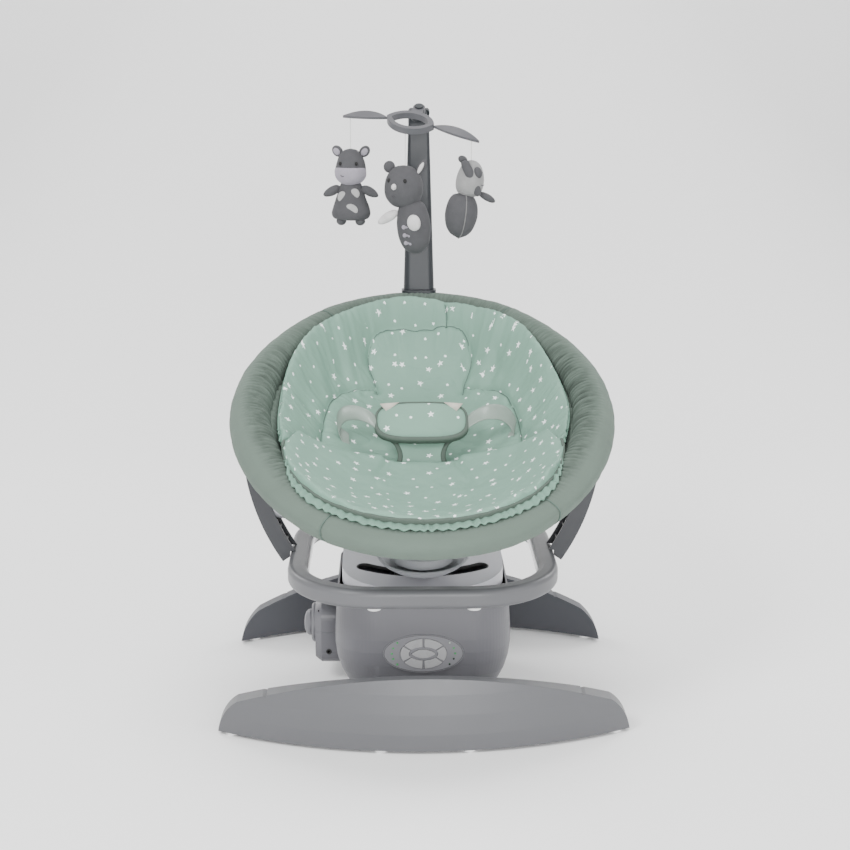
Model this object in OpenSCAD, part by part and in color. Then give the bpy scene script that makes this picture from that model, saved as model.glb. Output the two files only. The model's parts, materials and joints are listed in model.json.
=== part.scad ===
// Baby swing: a powered base, a side-to-side swing arm, a reclining padded seat and a toy mobile.
// The origin is on the floor under the middle. The front faces -Y and +Z is up.

/* [Base] */
// Width over the tips of the legs
base_w = 620; // [560:5:680]
// Distance between the outer faces of the legs at their middle
base_depth = 566; // [520:2:600]
// Height of a leg at its middle
leg_h = 107; // [95:1:120]
// Plan radius of a leg's outer face
leg_plan_r = 640; // [560:10:760]
// Height of the rubber pads
pad_h = 5; // [3:0.5:8]
// Diameter of the steel tubes between the legs
tube_d = 22; // [18:1:26]
// Distance between the steel tubes
tube_gap = 140; // [110:2:160]

/* [Body] */
// Width of the body at its widest
body_w = 274; // [250:2:290]
// Front of the body, measured from the middle
body_front = 134; // [120:1:140]
// Back of the body, measured from the middle
body_back = 150; // [140:1:160]
// Height of the line between the shell and the lid
split_z = 188; // [170:1:190]
// Height of the top of the body
body_top = 236; // [230:1:245]
// Wall thickness of the shells
wall = 3; // [2:0.5:4]

/* [Swing] */
// Radius from the swing axis to the neck
swing_r = 182; // [170:1:190]
// Lean of the swing axis towards the front
axis_tilt = 8; // [4:1:12]
// Half angle of the slot
slot_half = 30; // [26:1:32]
// Width of the slot
slot_w = 25; // [21:1:30]
// Number of teeth on a full sector gear
sector_teeth = 80; // [60:2:90]
// Number of teeth on the pinion
pinion_teeth = 12; // [10:1:16]

/* [Panel] */
// Height of the middle of the panel
panel_z = 99; // [90:1:110]
// Width of the panel
panel_w = 124; // [110:2:136]
// Height of the panel
panel_h = 62; // [54:2:70]

/* [Seat] */
// Half width of the seat tube's oval
oval_a = 267; // [250:1:280]
// Half length of the seat tube's oval
oval_b = 345; // [330:1:355]
// Radius of the oval's end arcs
oval_end_r = 222; // [205:1:235]
// Tilt of the seat, rear up
seat_tilt = 18; // [10:1:24]
// Height of the middle of the seat oval
seat_z = 451; // [440:1:460]
// Diameter of the padded rim
rim_d = 66; // [56:1:74]
// Diameter of the seat tube
seat_tube_d = 20; // [16:1:24]
// Depth of the fabric bowl
bowl_depth = 122; // [90:1:130]
// Height of the recline axis
recline_z = 385; // [380:1:390]

/* [Mobile] */
// Height of the axis on which the mobile turns
mobile_z = 893; // [870:1:910]
// Turn of the mobile to the side
mobile_yaw = 20; // [0:1:25]
// Forward tilt of the mobile ring
mobile_tilt = 28; // [20:1:32]

/* [Hidden] */
$fn = 64;

mid_grey = [0.52, 0.53, 0.55];
light_grey = [0.66, 0.66, 0.69];
dark_grey = [0.34, 0.35, 0.38];
slate = [0.29, 0.31, 0.34];
sage = [0.60, 0.67, 0.62];
mint = [0.64, 0.76, 0.70];
steel = [0.72, 0.73, 0.75];
black = [0.08, 0.08, 0.09];
plush_grey = [0.45, 0.45, 0.47];
green_board = [0.10, 0.35, 0.18];
gap = 0.3;

// Legs
leg_outer_y = base_depth / 2;
leg_axis_y = leg_outer_y - leg_plan_r;
leg_top_z = pad_h + leg_h;
leg_crown_r = 730;
leg_tip_r = 77;
socket_depth = 40;
tube_z = pad_h + 3 + tube_d / 2;
tube_end_y = leg_outer_y - 22;
running = 0.05;

// Body
body_y = (body_back - body_front) / 2;
body_d = body_back + body_front;
body_corner = 62;
tray_z = tube_z + tube_d / 2;
tray_t = 6;
shell_z = tray_z + tray_t + gap;
cap_corner = 84;
cap_w = 252;

// Swing frame: its origin is on the swing axis, level with the slot
pivot_y = swing_r * cos(axis_tilt) - 78;
pivot_z = 210 + swing_r * sin(axis_tilt);
neck_d = 15;
shaft_d = 12;
gear_module = 1.5;
sector_r = gear_module * sector_teeth / 2;
pinion_r = gear_module * pinion_teeth / 2;
gear_centres = sector_r + pinion_r + 0.25;
gear_z = -46;
gear_t = 8;
arm_top = -8;
arm_t = 9;
upper_plate_z = -30;
lower_plate_z = -60;
plate_t = 6;
saucer_z = 7;
saucer_r = 72;
spigot_d = 30;
spigot_h = 22;

// Panel
panel_y = -body_front;
bezel_t = 6;
button_gap = 0.9;
button_travel = 1;
ring_a = 36;
ring_b = 24.5;
inner_a = 22;
inner_b = 10.5;
centre_a = 19.5;
centre_b = 7.4;

// Pod
pod_y = 30;
pod_left = -172;
pod_split_z = 90;
pod_top = 134;
pod_bottom = 34;
knob_z = 92;

// Seat carrier
hoop_half_w = 194;
hoop_half_d = 202;
hoop_z = 213;
hoop_corner = 125;
hoop_section = 30;
strut_arc_x = -71.3;
strut_arc_z = 408.5;
strut_arc_r = 339;
strut_t = 26;
strut_d = 40;
strut_wall = 4;
hub_x = 267;
bridge_end_x = 262;
hub_r = 25;
hub_t = 30;
pin_r = 5;

// Seat
oval_end_y = oval_b - oval_end_r;
oval_side_x = (oval_end_y * oval_end_y - (oval_a - oval_end_r) * (oval_a - oval_end_r))
    / (2 * (oval_a - oval_end_r));
oval_side_r = oval_a + oval_side_x;
oval_angle = atan(oval_end_y / oval_side_x);
sling_a = oval_a - rim_d / 2 - 2;
sling_b = oval_b - rim_d / 2 - 2;
sling_t = 4;
bowl_power = 2.6;
liner_t = 13;
liner_front_t = 15;
post_y = 345;
post_w = 53;
post_top_w = 36;
post_t = 24;
post_base_z = 588;
hook_r = 26;
hook_t = 11;
hook_end = 9;
post_arc_z = mobile_z - hook_r * cos(mobile_tilt) + hook_end * sin(mobile_tilt);

// Mobile
mobile_y = post_y - hook_r - hook_r * sin(mobile_tilt) - hook_end * cos(mobile_tilt);
ring_reach = 44;
ring_base = hook_t / 2 + 0.5;
ring_half_w = 41.5;
ring_half_d = 29;
ring_band = 11;
leaf_l = 80;

// ---------- shared shapes ----------

// Rectangle with round corners, centred
module round_rect(w, h, r) {
    square([w - 2 * r, h], center = true);
    square([w, h - 2 * r], center = true);
    for (x = [-1, 1], y = [-1, 1])
        translate([x * (w / 2 - r), y * (h / 2 - r)]) circle(r);
}

// Round bar between two points
module bar(p, q, d) {
    v = q - p;
    translate(p)
        rotate([0, acos(v[2] / norm(v)), atan2(v[1], v[0])])
            cylinder(d = d, h = norm(v));
}

// Points of an ellipse's arc
function ellipse_arc(a, b, from, to, n) =
    [for (i = [0 : n]) let (t = from + (to - from) * i / n) [a * cos(t), b * sin(t)]];

function reversed(list) = [for (i = [len(list) - 1 : -1 : 0]) list[i]];

// Solid that stands upright on the panel, drawn in X and Z and pushed back along +Y
module on_panel(depth) {
    translate([0, panel_y, panel_z]) rotate([90, 0, 0]) translate([0, 0, -depth])
        linear_extrude(depth) children();
}

module in_swing_frame() {
    translate([0, pivot_y, pivot_z]) rotate([axis_tilt, 0, 0]) children();
}

module in_seat_frame() {
    translate([0, 0, seat_z]) rotate([seat_tilt, 0, 0]) children();
}

module in_mobile_frame() {
    translate([0, mobile_y, mobile_z]) rotate([mobile_tilt, 0, 0]) rotate([0, 0, -mobile_yaw])
        children();
}

// ---------- base ----------

// Upright section of a leg: a slightly convex outer face that leans in towards the top
module leg_section() {
    r = leg_plan_r;
    polygon([
        [r - 25, pad_h], [r, pad_h], [r + 0.5, pad_h + 25], [r - 2, pad_h + 55],
        [r - 6.5, pad_h + 84], [r - 13, leg_top_z], [r - 27, leg_top_z], [r - 31, pad_h + 70]
    ]);
}

// Front outline of a leg: a low crown with rounded tips
module leg_outline() {
    intersection() {
        translate([0, leg_top_z - leg_crown_r]) circle(leg_crown_r, $fn = 180);
        union() {
            translate([leg_tip_r - base_w / 2, 0]) square([base_w - 2 * leg_tip_r, leg_top_z]);
            for (s = [-1, 1])
                translate([s * (base_w / 2 - leg_tip_r), -pad_h]) circle(leg_tip_r, $fn = 96);
        }
    }
}

module leg() {
    difference() {
        union() {
            intersection() {
                translate([0, leg_axis_y, 0]) rotate([0, 0, 55])
                    rotate_extrude(angle = 70, $fn = 180) leg_section();
                translate([0, 400, 0]) rotate([90, 0, 0]) linear_extrude(400) leg_outline();
            }
            for (s = [-1, 1])
                translate([s * tube_gap / 2, leg_outer_y - 20, tube_z]) rotate([90, 0, 0])
                    cylinder(d = tube_d + 6, h = socket_depth);
        }
        for (s = [-1, 1])
            translate([s * tube_gap / 2, tube_end_y, tube_z]) rotate([90, 0, 0])
                cylinder(d = tube_d + 2 * running, h = 120);
    }
}

module front_leg() {
    color(mid_grey) mirror([0, 1, 0]) leg();
}

module rear_leg() {
    color(dark_grey) leg();
}

function leg_mid_y(x) = leg_axis_y + sqrt(pow(leg_plan_r - 13, 2) - x * x);

module floor_pads() {
    color("gainsboro")
        for (x = [-288, -65, 65, 288], s = [-1, 1])
            translate([x, s * leg_mid_y(x), 0]) {
                cylinder(d1 = 17, d2 = 20, h = 2);
                translate([0, 0, 2]) cylinder(d = 20, h = pad_h - 2);
            }
}

module cross_tubes() {
    color(steel)
        for (s = [-1, 1])
            translate([s * tube_gap / 2, tube_end_y, tube_z]) rotate([90, 0, 0])
                difference() {
                    cylinder(d = tube_d, h = 2 * tube_end_y);
                    translate([0, 0, -1]) cylinder(d = tube_d - 4, h = 2 * tube_end_y + 2);
                }
}

clamp_y = [body_y - 85, body_y + 85];

module tube_clamps() {
    color(dark_grey)
        for (s = [-1, 1], y = clamp_y)
            translate([s * tube_gap / 2, y, 0]) difference() {
                translate([-24, -10, tube_z - tube_d / 2 - 2.5]) cube([48, 20, tube_d + 2.5]);
                translate([0, 11, tube_z]) rotate([90, 0, 0])
                    cylinder(d = tube_d + 2 * running, h = 22);
                for (x = [-19, 19])
                    translate([x, 0, -1]) cylinder(d = 5, h = 60);
            }
}

module base_screws() {
    color(steel)
        for (s = [-1, 1], y = clamp_y, x = [-19, 19])
            translate([s * tube_gap / 2 + x, y, tube_z - tube_d / 2 - 4.5]) {
                cylinder(d = 8, h = 2);
                cylinder(d = 4.9, h = tube_d + 4.5 + tray_t);
            }
}

module base_tray() {
    color(dark_grey) difference() {
        translate([0, body_y, tray_z]) linear_extrude(tray_t) round_rect(226, body_d - 54, 56);
        for (s = [-1, 1], y = clamp_y, x = [-19, 19])
            translate([s * tube_gap / 2 + x, y, tray_z - 1]) cylinder(d = 5, h = tray_t + 2);
    }
}

// ---------- body ----------

// Corner post of the body: its radius swells at mid-height and draws in at the foot
module body_corner_post() {
    rotate_extrude() polygon([
        [0, shell_z], [body_corner - 22, shell_z], [body_corner - 17, shell_z + 6],
        [body_corner - 9, shell_z + 22], [body_corner - 3, shell_z + 42], [body_corner, 100],
        [body_corner, 120], [body_corner - 1.5, 145], [body_corner - 4, split_z], [0, split_z]
    ]);
}

module barrel() {
    hull()
        for (x = [-1, 1], y = [-1, 1])
            translate([x * (body_w / 2 - body_corner), body_y + y * (body_d / 2 - body_corner), 0])
                body_corner_post($fn = 64);
}

module housing_shell() {
    color(mid_grey) difference() {
        barrel();
        for (step = [[-1, 56], [20, 32], [45, 14]])
            translate([0, body_y, shell_z + step[0]]) linear_extrude(split_z)
                round_rect(body_w - step[1], body_d - step[1], body_corner - step[1] / 2);
        on_panel(22) polygon(ellipse_arc(panel_w / 2 + gap, panel_h / 2 + gap, 0, 354, 59));
        translate([-body_w / 2 - 5, pod_y, 70]) rotate([0, 90, 0]) cylinder(d = 20, h = 20);
    }
}

module cap_corner_post() {
    rotate_extrude() {
        translate([0, split_z + gap]) square([cap_corner, body_top - split_z - gap - 16]);
        translate([0, body_top - 16]) square([cap_corner - 16, 16]);
        translate([cap_corner - 16, body_top - 16]) circle(16, $fn = 48);
    }
}

// Lid as a solid; the front half of its top slopes square to the swing axis
module cap_solid() {
    difference() {
        hull()
            for (x = [-1, 1], y = [-1, 1])
                translate([x * (cap_w / 2 - cap_corner),
                           body_y + 1 + y * ((body_d - 12) / 2 - cap_corner), 0])
                    cap_corner_post($fn = 64);
        in_swing_frame() translate([-200, -400, 0]) cube([400, 800, 60]);
    }
}

// Arc slot, drawn in the swing frame
module slot_shape(width, half, depth) {
    rotate([0, 0, 270 - half]) rotate_extrude(angle = 2 * half, $fn = 120)
        translate([swing_r - width / 2, -depth]) square([width, 2 * depth]);
    for (s = [-1, 1])
        rotate([0, 0, s * half]) translate([0, -swing_r, -depth])
            cylinder(d = width, h = 2 * depth);
}

module top_cap() {
    color(light_grey) difference() {
        cap_solid();
        translate([0, body_y + 1, split_z - 1]) linear_extrude(12)
            round_rect(cap_w - 2 * wall, body_d - 12 - 2 * wall, cap_corner - wall);
        intersection() {
            translate([0, body_y + 1, split_z]) linear_extrude(60)
                round_rect(cap_w - 14, body_d - 26, cap_corner - 7);
            in_swing_frame() translate([-200, -400, -90]) cube([400, 800, 90 - wall]);
            translate([-200, -200, 0]) cube([400, 400, body_top - wall]);
        }
        in_swing_frame() slot_shape(slot_w, slot_half, 10);
    }
}

module slot_gasket() {
    color(black) in_swing_frame() difference() {
        union() {
            intersection() {
                slot_shape(slot_w - 2 * running, slot_half, 10);
                translate([-200, -400, -wall]) cube([400, 800, wall - 0.2]);
            }
            intersection() {
                slot_shape(slot_w + 6, slot_half, 10);
                translate([-200, -400, -wall - 1]) cube([400, 800, 1]);
            }
        }
        slot_shape(slot_w - 4, slot_half, 12);
    }
}

// ---------- panel ----------

// Outline of a segment button between two angles, with a margin all round
module segment_shape(from, to, margin) {
    trim = margin / ring_a * 60;
    polygon(concat(
        ellipse_arc(ring_a - margin, ring_b - margin, from + trim, to - trim, 12),
        reversed(ellipse_arc(inner_a + margin, inner_b + margin, from + 1.7 * trim, to - 1.7 * trim, 8))
    ));
}

// Pointed oval of the middle button
module centre_shape(margin) {
    intersection_for(s = [-1, 1])
        translate([0, s * (28 - centre_b)]) circle(28 - margin, $fn = 96);
}

segment_angles = [[34, 88], [92, 146], [150, 210], [214, 268], [272, 326], [-30, 30]];

module control_bezel() {
    color(mid_grey) difference() {
        on_panel(bezel_t) polygon(ellipse_arc(panel_w / 2, panel_h / 2, 0, 354, 59));
        translate([0, -1, 0]) on_panel(bezel_t + 2) {
            for (a = segment_angles) segment_shape(a[0], a[1], 0);
            centre_shape(0);
        }
        for (p = led_places()) translate([p[0], panel_y - 1, panel_z + p[1]]) rotate([-90, 0, 0])
            cylinder(d = 3.1, h = bezel_t + 2);
    }
}

function led_places() = [
    for (s = [-1, 1], i = [-2 : 2]) [s * (48.5 - 2.1 * i * i), -8.7 * i]
];

module status_leds() {
    color("limegreen")
        for (p = led_places()) translate([p[0], panel_y - 0.4, panel_z + p[1]]) rotate([-90, 0, 0])
            cylinder(d = 3, h = bezel_t + 4);
}

// A button: a face that stands proud of the bezel and a wider foot behind it
module segment_button(index) {
    a = segment_angles[index];
    color(light_grey) {
        translate([0, -1.2, 0]) on_panel(bezel_t + 1.2 + gap)
            segment_shape(a[0], a[1], button_gap / 2);
        translate([0, bezel_t + gap, 0]) on_panel(2) segment_shape(a[0], a[1], -0.2);
    }
}

module button_upper_right() { segment_button(0); }
module button_upper_left() { segment_button(1); }
module button_left() { segment_button(2); }
module button_lower_left() { segment_button(3); }
module button_lower_right() { segment_button(4); }
module button_right() { segment_button(5); }

module button_centre() {
    color(light_grey) {
        translate([0, -1.6, 0]) on_panel(bezel_t + 1.6 + gap) centre_shape(button_gap / 2);
        translate([0, bezel_t + gap, 0]) on_panel(2) centre_shape(-0.6);
    }
}

board_y = panel_y + bezel_t + gap + 2 + button_travel + 3;

module circuit_board() {
    color(green_board) {
        translate([0, board_y - panel_y, 0]) on_panel(1.6)
            polygon(ellipse_arc(panel_w / 2 - 3, panel_h / 2 - 3, 0, 354, 59));
        translate([-36, board_y + 1.6, panel_z - 18]) cube([24, 6, 18]);
        translate([10, board_y + 1.6, panel_z - 18]) cube([16, 4, 16]);
    }
}

// ---------- inside the body ----------

module speaker() {
    color(black) translate([70, 20, tray_z + tray_t + gap]) {
        cylinder(d = 50, h = 4);
        translate([0, 0, 4]) cylinder(d1 = 44, d2 = 28, h = 10);
        translate([0, 0, 14]) cylinder(d = 26, h = 8);
    }
}

module drive_motor() {
    color(steel) in_swing_frame() translate([0, -gear_centres, 0]) {
        translate([0, 0, lower_plate_z - gap - 52]) cylinder(d = 36, h = 52);
        translate([0, 0, lower_plate_z - gap - 54]) cylinder(d = 12, h = 2);
        translate([0, 0, lower_plate_z - gap - 1]) cylinder(d = 4, h = 28);
    }
}

module gear_frame() {
    color(dark_grey) in_swing_frame() difference() {
        union() {
            for (z = [lower_plate_z, upper_plate_z]) translate([-45, -95, z])
                cube([90, 115, plate_t]);
            for (x = [-40, 40], y = [-90, 14])
                translate([x, y, lower_plate_z + 0.5]) cylinder(d = 8, h = 30);
            translate([0, 0, lower_plate_z - 8]) cylinder(d = 30, h = 9);
        }
        translate([0, 0, lower_plate_z - 9]) cylinder(d = 22.06, h = 60);
        translate([0, -gear_centres, lower_plate_z - 1]) cylinder(d = 22, h = 60);
    }
}

module shaft_bearings() {
    color(steel) in_swing_frame()
        for (z = [lower_plate_z - 1, upper_plate_z])
            translate([0, 0, z]) difference() {
                cylinder(d = 22, h = plate_t);
                translate([0, 0, -1]) cylinder(d = shaft_d + 2 * running, h = plate_t + 2);
            }
}

// Straight-sided teeth round a wheel
module toothed_wheel(teeth, from, to, module_mm, slack) {
    r = module_mm * teeth / 2;
    pitch = 360 / teeth;
    half = pitch / 4 - slack;
    for (i = [from : to]) rotate([0, 0, i * pitch]) polygon([
        (r - 1.3 * module_mm) * [cos(-half * 1.7), sin(-half * 1.7)],
        (r + 0.9 * module_mm) * [cos(-half * 0.4), sin(-half * 0.4)],
        (r + 0.9 * module_mm) * [cos(half * 0.4), sin(half * 0.4)],
        (r - 1.3 * module_mm) * [cos(half * 1.7), sin(half * 1.7)]
    ]);
}

sector_half_teeth = 8;

module sector_gear() {
    color("whitesmoke") in_swing_frame() translate([0, 0, gear_z]) difference() {
        linear_extrude(gear_t) {
            circle(d = 34);
            rotate([0, 0, -90]) toothed_wheel(sector_teeth, -sector_half_teeth, sector_half_teeth,
                gear_module, 0.06);
            intersection() {
                circle(sector_r - 1.2 * gear_module, $fn = 160);
                polygon([[0, 12], [-46, -70], [46, -70]]);
            }
        }
        translate([0, 0, -1]) cylinder(d = shaft_d, h = gear_t + 2);
    }
}

module drive_pinion() {
    color("whitesmoke") in_swing_frame() translate([0, -gear_centres, gear_z - 1]) difference() {
        linear_extrude(gear_t + 2) {
            circle(pinion_r - 1.2 * gear_module);
            rotate([0, 0, 90 + 180 / pinion_teeth])
                toothed_wheel(pinion_teeth, 0, pinion_teeth - 1, gear_module, 0.9);
        }
        translate([0, 0, -1]) cylinder(d = 4 + 2 * running, h = gear_t + 4);
    }
}

module swing_shaft() {
    color(steel) in_swing_frame() translate([0, 0, lower_plate_z - 6])
        cylinder(d = shaft_d, h = arm_top - lower_plate_z + 6);
}

module swing_arm() {
    color(black) in_swing_frame() {
        difference() {
            union() {
                translate([0, 0, arm_top - arm_t]) cylinder(d = 36, h = arm_t);
                translate([0, -swing_r, arm_top - arm_t]) cylinder(d = 26, h = arm_t);
                translate([0, 0, arm_top - arm_t]) linear_extrude(arm_t)
                    polygon([[-18, 0], [18, 0], [13, -swing_r], [-13, -swing_r]]);
            }
            translate([0, 0, -40]) cylinder(d = shaft_d, h = 40);
        }
        translate([0, -swing_r, arm_top - 1]) cylinder(d = neck_d, h = saucer_z - arm_top + 1);
    }
}

module slot_shield() {
    color(black) in_swing_frame() translate([0, 0, -6.6]) difference() {
        rotate([0, 0, 256]) rotate_extrude(angle = 28, $fn = 120)
            translate([swing_r - 16, 0]) square([32, 1.4]);
        translate([0, -swing_r, -1]) cylinder(d = neck_d, h = 4);
    }
}

// Shallow dish under the seat with a central spigot
module saucer() {
    color(steel) in_swing_frame() translate([0, -swing_r, saucer_z]) {
        rotate_extrude() {
            polygon([
                [0, 0], [20, 0], [36, 3], [52, 9.5], [64, 18], [saucer_r, 27],
                [saucer_r - 3, 28], [61.5, 20.5], [50.5, 12.5], [35.4, 6], [20, 3], [0, 3]
            ]);
            square([spigot_d / 2, 3 + spigot_h]);
        }
    }
}

// ---------- pod ----------

module pod_solid() {
    hull()
        for (y = [-1, 1], z = [pod_bottom + 24, pod_top - 24])
            translate([pod_left, pod_y + y * 22, z]) rotate([0, 90, 0]) {
                translate([0, 0, 10]) cylinder(r = 24, h = 30, $fn = 32);
                cylinder(r = 16, h = 10, $fn = 32);
            }
}

module pod_shell() {
    difference() {
        pod_solid();
        translate([pod_left + wall + 2, pod_y - 38, pod_bottom + 9])
            cube([40, 76, pod_top - pod_bottom - 18]);
        barrel();
    }
}

module pod_upper_shell() {
    color(mid_grey) intersection() {
        pod_shell();
        translate([-200, -50, pod_split_z + gap / 2]) cube([100, 160, 80]);
    }
}

module pod_lower_shell() {
    color(mid_grey) difference() {
        intersection() {
            pod_shell();
            translate([-200, -50, pod_split_z - gap / 2 - 80]) cube([100, 160, 80]);
        }
        translate([-150, pod_y - 60, pod_bottom + 24]) rotate([-90, 0, 0]) cylinder(d = 9, h = 40);
    }
}

module dc_inlet() {
    color(black) translate([-150, pod_y - 46.5, pod_bottom + 24]) rotate([-90, 0, 0]) difference() {
        cylinder(d = 8.9, h = 12);
        translate([0, 0, -1]) cylinder(d = 5.6, h = 10);
    }
}

module pod_collar() {
    color(mid_grey) translate([pod_left - 6.5, pod_y, knob_z]) rotate([0, 90, 0]) difference() {
        union() {
            cylinder(d1 = 58, d2 = 64, h = 3);
            translate([0, 0, 3]) cylinder(d = 64, h = 3.2);
        }
        translate([0, 0, -1]) cylinder(d = 12.1, h = 9);
    }
}

module pod_knob() {
    color(mid_grey) translate([pod_left - 6.5 - gap, pod_y, knob_z]) rotate([0, -90, 0]) {
        rotate_extrude() polygon([
            [0, 0], [21, 0], [21.5, 3], [20, 6.5], [16.5, 9.5], [11, 11.6], [5, 12.4], [0, 12.5]
        ]);
        translate([0, 0, -6]) cylinder(d = 12, h = 7);
    }
}

// ---------- seat carrier ----------

// Round-cornered ring of a given section, drawn round the body
module hoop_sweep(inset) {
    w = hoop_half_w - inset;
    d = hoop_half_d - inset;
    r = hoop_corner - inset;
    for (s = [0, 180]) rotate([0, 0, s]) {
        translate([r - w, -d, 0]) rotate([90, 0, 90]) linear_extrude(2 * (w - r)) children();
        translate([w, r - d, 0]) rotate([90, 0, 180]) linear_extrude(2 * (d - r)) children();
        for (k = [0, 1])
            translate([k * 2 * (w - r) + r - w, r - d, 0])
                rotate([0, 0, 180 + 90 * k]) rotate_extrude(angle = 90, $fn = 120)
                    translate([r, 0]) children();
    }
}

module hoop() {
    color(mid_grey) translate([0, 0, hoop_z]) hoop_sweep(0)
        round_rect(hoop_section, hoop_section, 9);
}

module hoop_trim() {
    color("gainsboro") translate([0, 0, hoop_z]) hoop_sweep(hoop_section / 2 + 1.1)
        square([2, hoop_section - 19], center = true);
}

module hoop_pads() {
    color("white")
        for (x = [-74, 74], s = [-1, 1])
            translate([x, s * (hoop_half_d - 4), hoop_z - hoop_section / 2 - 4])
                cylinder(d1 = 20, d2 = 24, h = 4);
}

// Curved channel from the hoop up to the recline hub, open on its inner side
module strut(s) {
    color(dark_grey) mirror([s < 0 ? 1 : 0, 0, 0]) difference() {
        union() {
            translate([strut_arc_x, 0, strut_arc_z]) rotate([90, 0, 0]) rotate([0, 0, -34])
                rotate_extrude(angle = 33, $fn = 120) translate([strut_arc_r, 0])
                    difference() {
                        square([strut_t, strut_d], center = true);
                        translate([-strut_wall, 0])
                            square([strut_t, strut_d - 2 * strut_wall], center = true);
                    }
            translate([hub_x - hub_t / 2, 0, recline_z]) rotate([0, 90, 0])
                cylinder(r = hub_r, h = hub_t);
            for (a = [-30, -26, -14, -10])
                translate([strut_arc_x, 0, strut_arc_z]) rotate([0, -a, 0])
                    translate([strut_arc_r - 10, -strut_d / 2 + 1, -1.5])
                        cube([20, strut_d - 2, 3]);
        }
        translate([hub_x - 40, 0, recline_z]) rotate([0, 90, 0]) cylinder(r = pin_r, h = 80);
        translate([hub_x - hub_t / 2 - 30, 0, recline_z]) rotate([0, 90, 0])
            cylinder(r = hub_r + 4, h = 30);
        translate([0, 0, hoop_z]) hoop_sweep(0)
            square([hoop_section, hoop_section], center = true);
    }
}

module strut_left() { strut(-1); }
module strut_right() { strut(1); }

// Cast bridge: a hub that sits in the saucer and two arms out to the struts
module seat_bridge() {
    boss_z = saucer_z + 3 + running;
    color(dark_grey) difference() {
        union() {
            in_swing_frame() translate([0, -swing_r, boss_z]) {
                cylinder(d1 = 34, d2 = 96, h = 18);
                translate([0, 0, 18]) cylinder(d = 96, h = 14);
            }
            for (s = [-1, 1]) {
                bar([s * 20, -72, 255], [s * 110, -16, 281], 26);
                bar([s * 110, -16, 281], [s * bridge_end_x, 0, 296], 26);
                translate([s * 110, -16, 281]) sphere(d = 31);
            }
        }
        in_swing_frame() translate([0, -swing_r, boss_z - 1])
            cylinder(d = spigot_d + 2 * running, h = spigot_h + 2);
        for (s = [-1, 1]) mirror([s < 0 ? 1 : 0, 0, 0])
            translate([strut_arc_x, 0, strut_arc_z]) rotate([90, 0, 0]) rotate([0, 0, -50])
                rotate_extrude(angle = 40, $fn = 120)
                    translate([strut_arc_r + strut_t / 2 - strut_wall, -40]) square([60, 80]);
    }
}

module pivot_pins() {
    color(steel)
        for (s = [0, 1]) mirror([s, 0, 0])
            translate([hub_x - hub_t / 2 - 14, 0, recline_z]) rotate([0, 90, 0]) {
                cylinder(r = pin_r, h = hub_t + 14);
                translate([0, 0, hub_t + 14]) cylinder(r = 9, h = 2.5);
                translate([0, 0, -2.5]) cylinder(r = 8, h = 2.5);
            }
}

// ---------- seat ----------

// Directions of the oval's normal at which a section stands: close together on every arc
oval_steps = concat(
    [for (i = [0 : 17]) -oval_angle + 2 * oval_angle * i / 18],
    [for (i = [0 : 13]) oval_angle + (180 - 2 * oval_angle) * i / 14]
);

// Section of the oval at a normal direction: the side arcs and the end arcs have their own centres
function oval_section(profile, t, on_side) = [
    for (p = profile) let (r = p[0] + (on_side ? oval_side_r : oval_end_r))
        [r * cos(t) - (on_side ? oval_side_x : 0), r * sin(t) + (on_side ? 0 : oval_end_y), p[1]]
];

// Sweeps a closed profile round the seat oval: two side arcs and two end arcs that meet in line
module oval_sweep(profile) {
    half = [for (k = [0 : 31]) oval_section(profile, oval_steps[k], k < 18)];
    rings = concat(half, [for (ring = half) [for (p = ring) [-p[0], -p[1], p[2]]]]);
    n = len(rings);
    m = len(profile);
    polyhedron([for (ring = rings, p = ring) p], [
        for (k = [0 : n - 1], j = [0 : m - 1]) each let (
            a = k * m + j,
            b = k * m + (j + 1) % m,
            c = ((k + 1) % n) * m + (j + 1) % m,
            d = ((k + 1) % n) * m + j
        ) [[a, b, c], [a, c, d]]
    ]);
}

module seat_tube() {
    color(steel) in_seat_frame()
        oval_sweep(ellipse_arc(seat_tube_d / 2, seat_tube_d / 2, 0, 330, 11));
}

// Bracket that grips the tube from below and carries the recline pin, inside the strut's hub
module hub_bracket(s) {
    plate_x = hub_x - hub_t / 2 - gap - 12;
    color(dark_grey) mirror([s < 0 ? 1 : 0, 0, 0]) difference() {
        union() {
            translate([plate_x, 0, recline_z]) rotate([0, 90, 0]) cylinder(r = hub_r, h = 12);
            translate([plate_x, -hub_r, recline_z])
                cube([12, 2 * hub_r, seat_z - recline_z + 4]);
            translate([plate_x, -hub_r, seat_z - 14]) cube([40, 2 * hub_r, 18]);
        }
        translate([plate_x - 1, 0, recline_z]) rotate([0, 90, 0])
            cylinder(r = pin_r + running, h = 14);
        in_seat_frame() translate([oval_a, 0, 0]) rotate([90, 0, 0])
            cylinder(d = seat_tube_d + 2.4, h = 90, center = true);
    }
}

module hub_bracket_left() { hub_bracket(-1); }
module hub_bracket_right() { hub_bracket(1); }

module rim_roll() {
    color(sage) difference() {
        in_seat_frame() oval_sweep(concat(
            ellipse_arc(rim_d / 2, rim_d / 2, -80, 260, 15),
            reversed(ellipse_arc(seat_tube_d / 2 + 0.5, seat_tube_d / 2 + 0.5, -66, 246, 10))
        ));
        for (s = [-1, 1])
            translate([s * (hub_x - 4), 0, recline_z + 23]) cube([56, 56, 94], center = true);
        translate([-31, post_y - 30, post_base_z - 62]) cube([62, 80, 120]);
    }
}

// Height of the bowl under the rim plane, for a place in the seat frame
function bowl(x, y) =
    let (u = sqrt(pow(x / sling_a, 2) + pow((y + 15) / (sling_b + 15), 2)))
    -bowl_depth * (1 - pow(min(u, 1), bowl_power));

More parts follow.
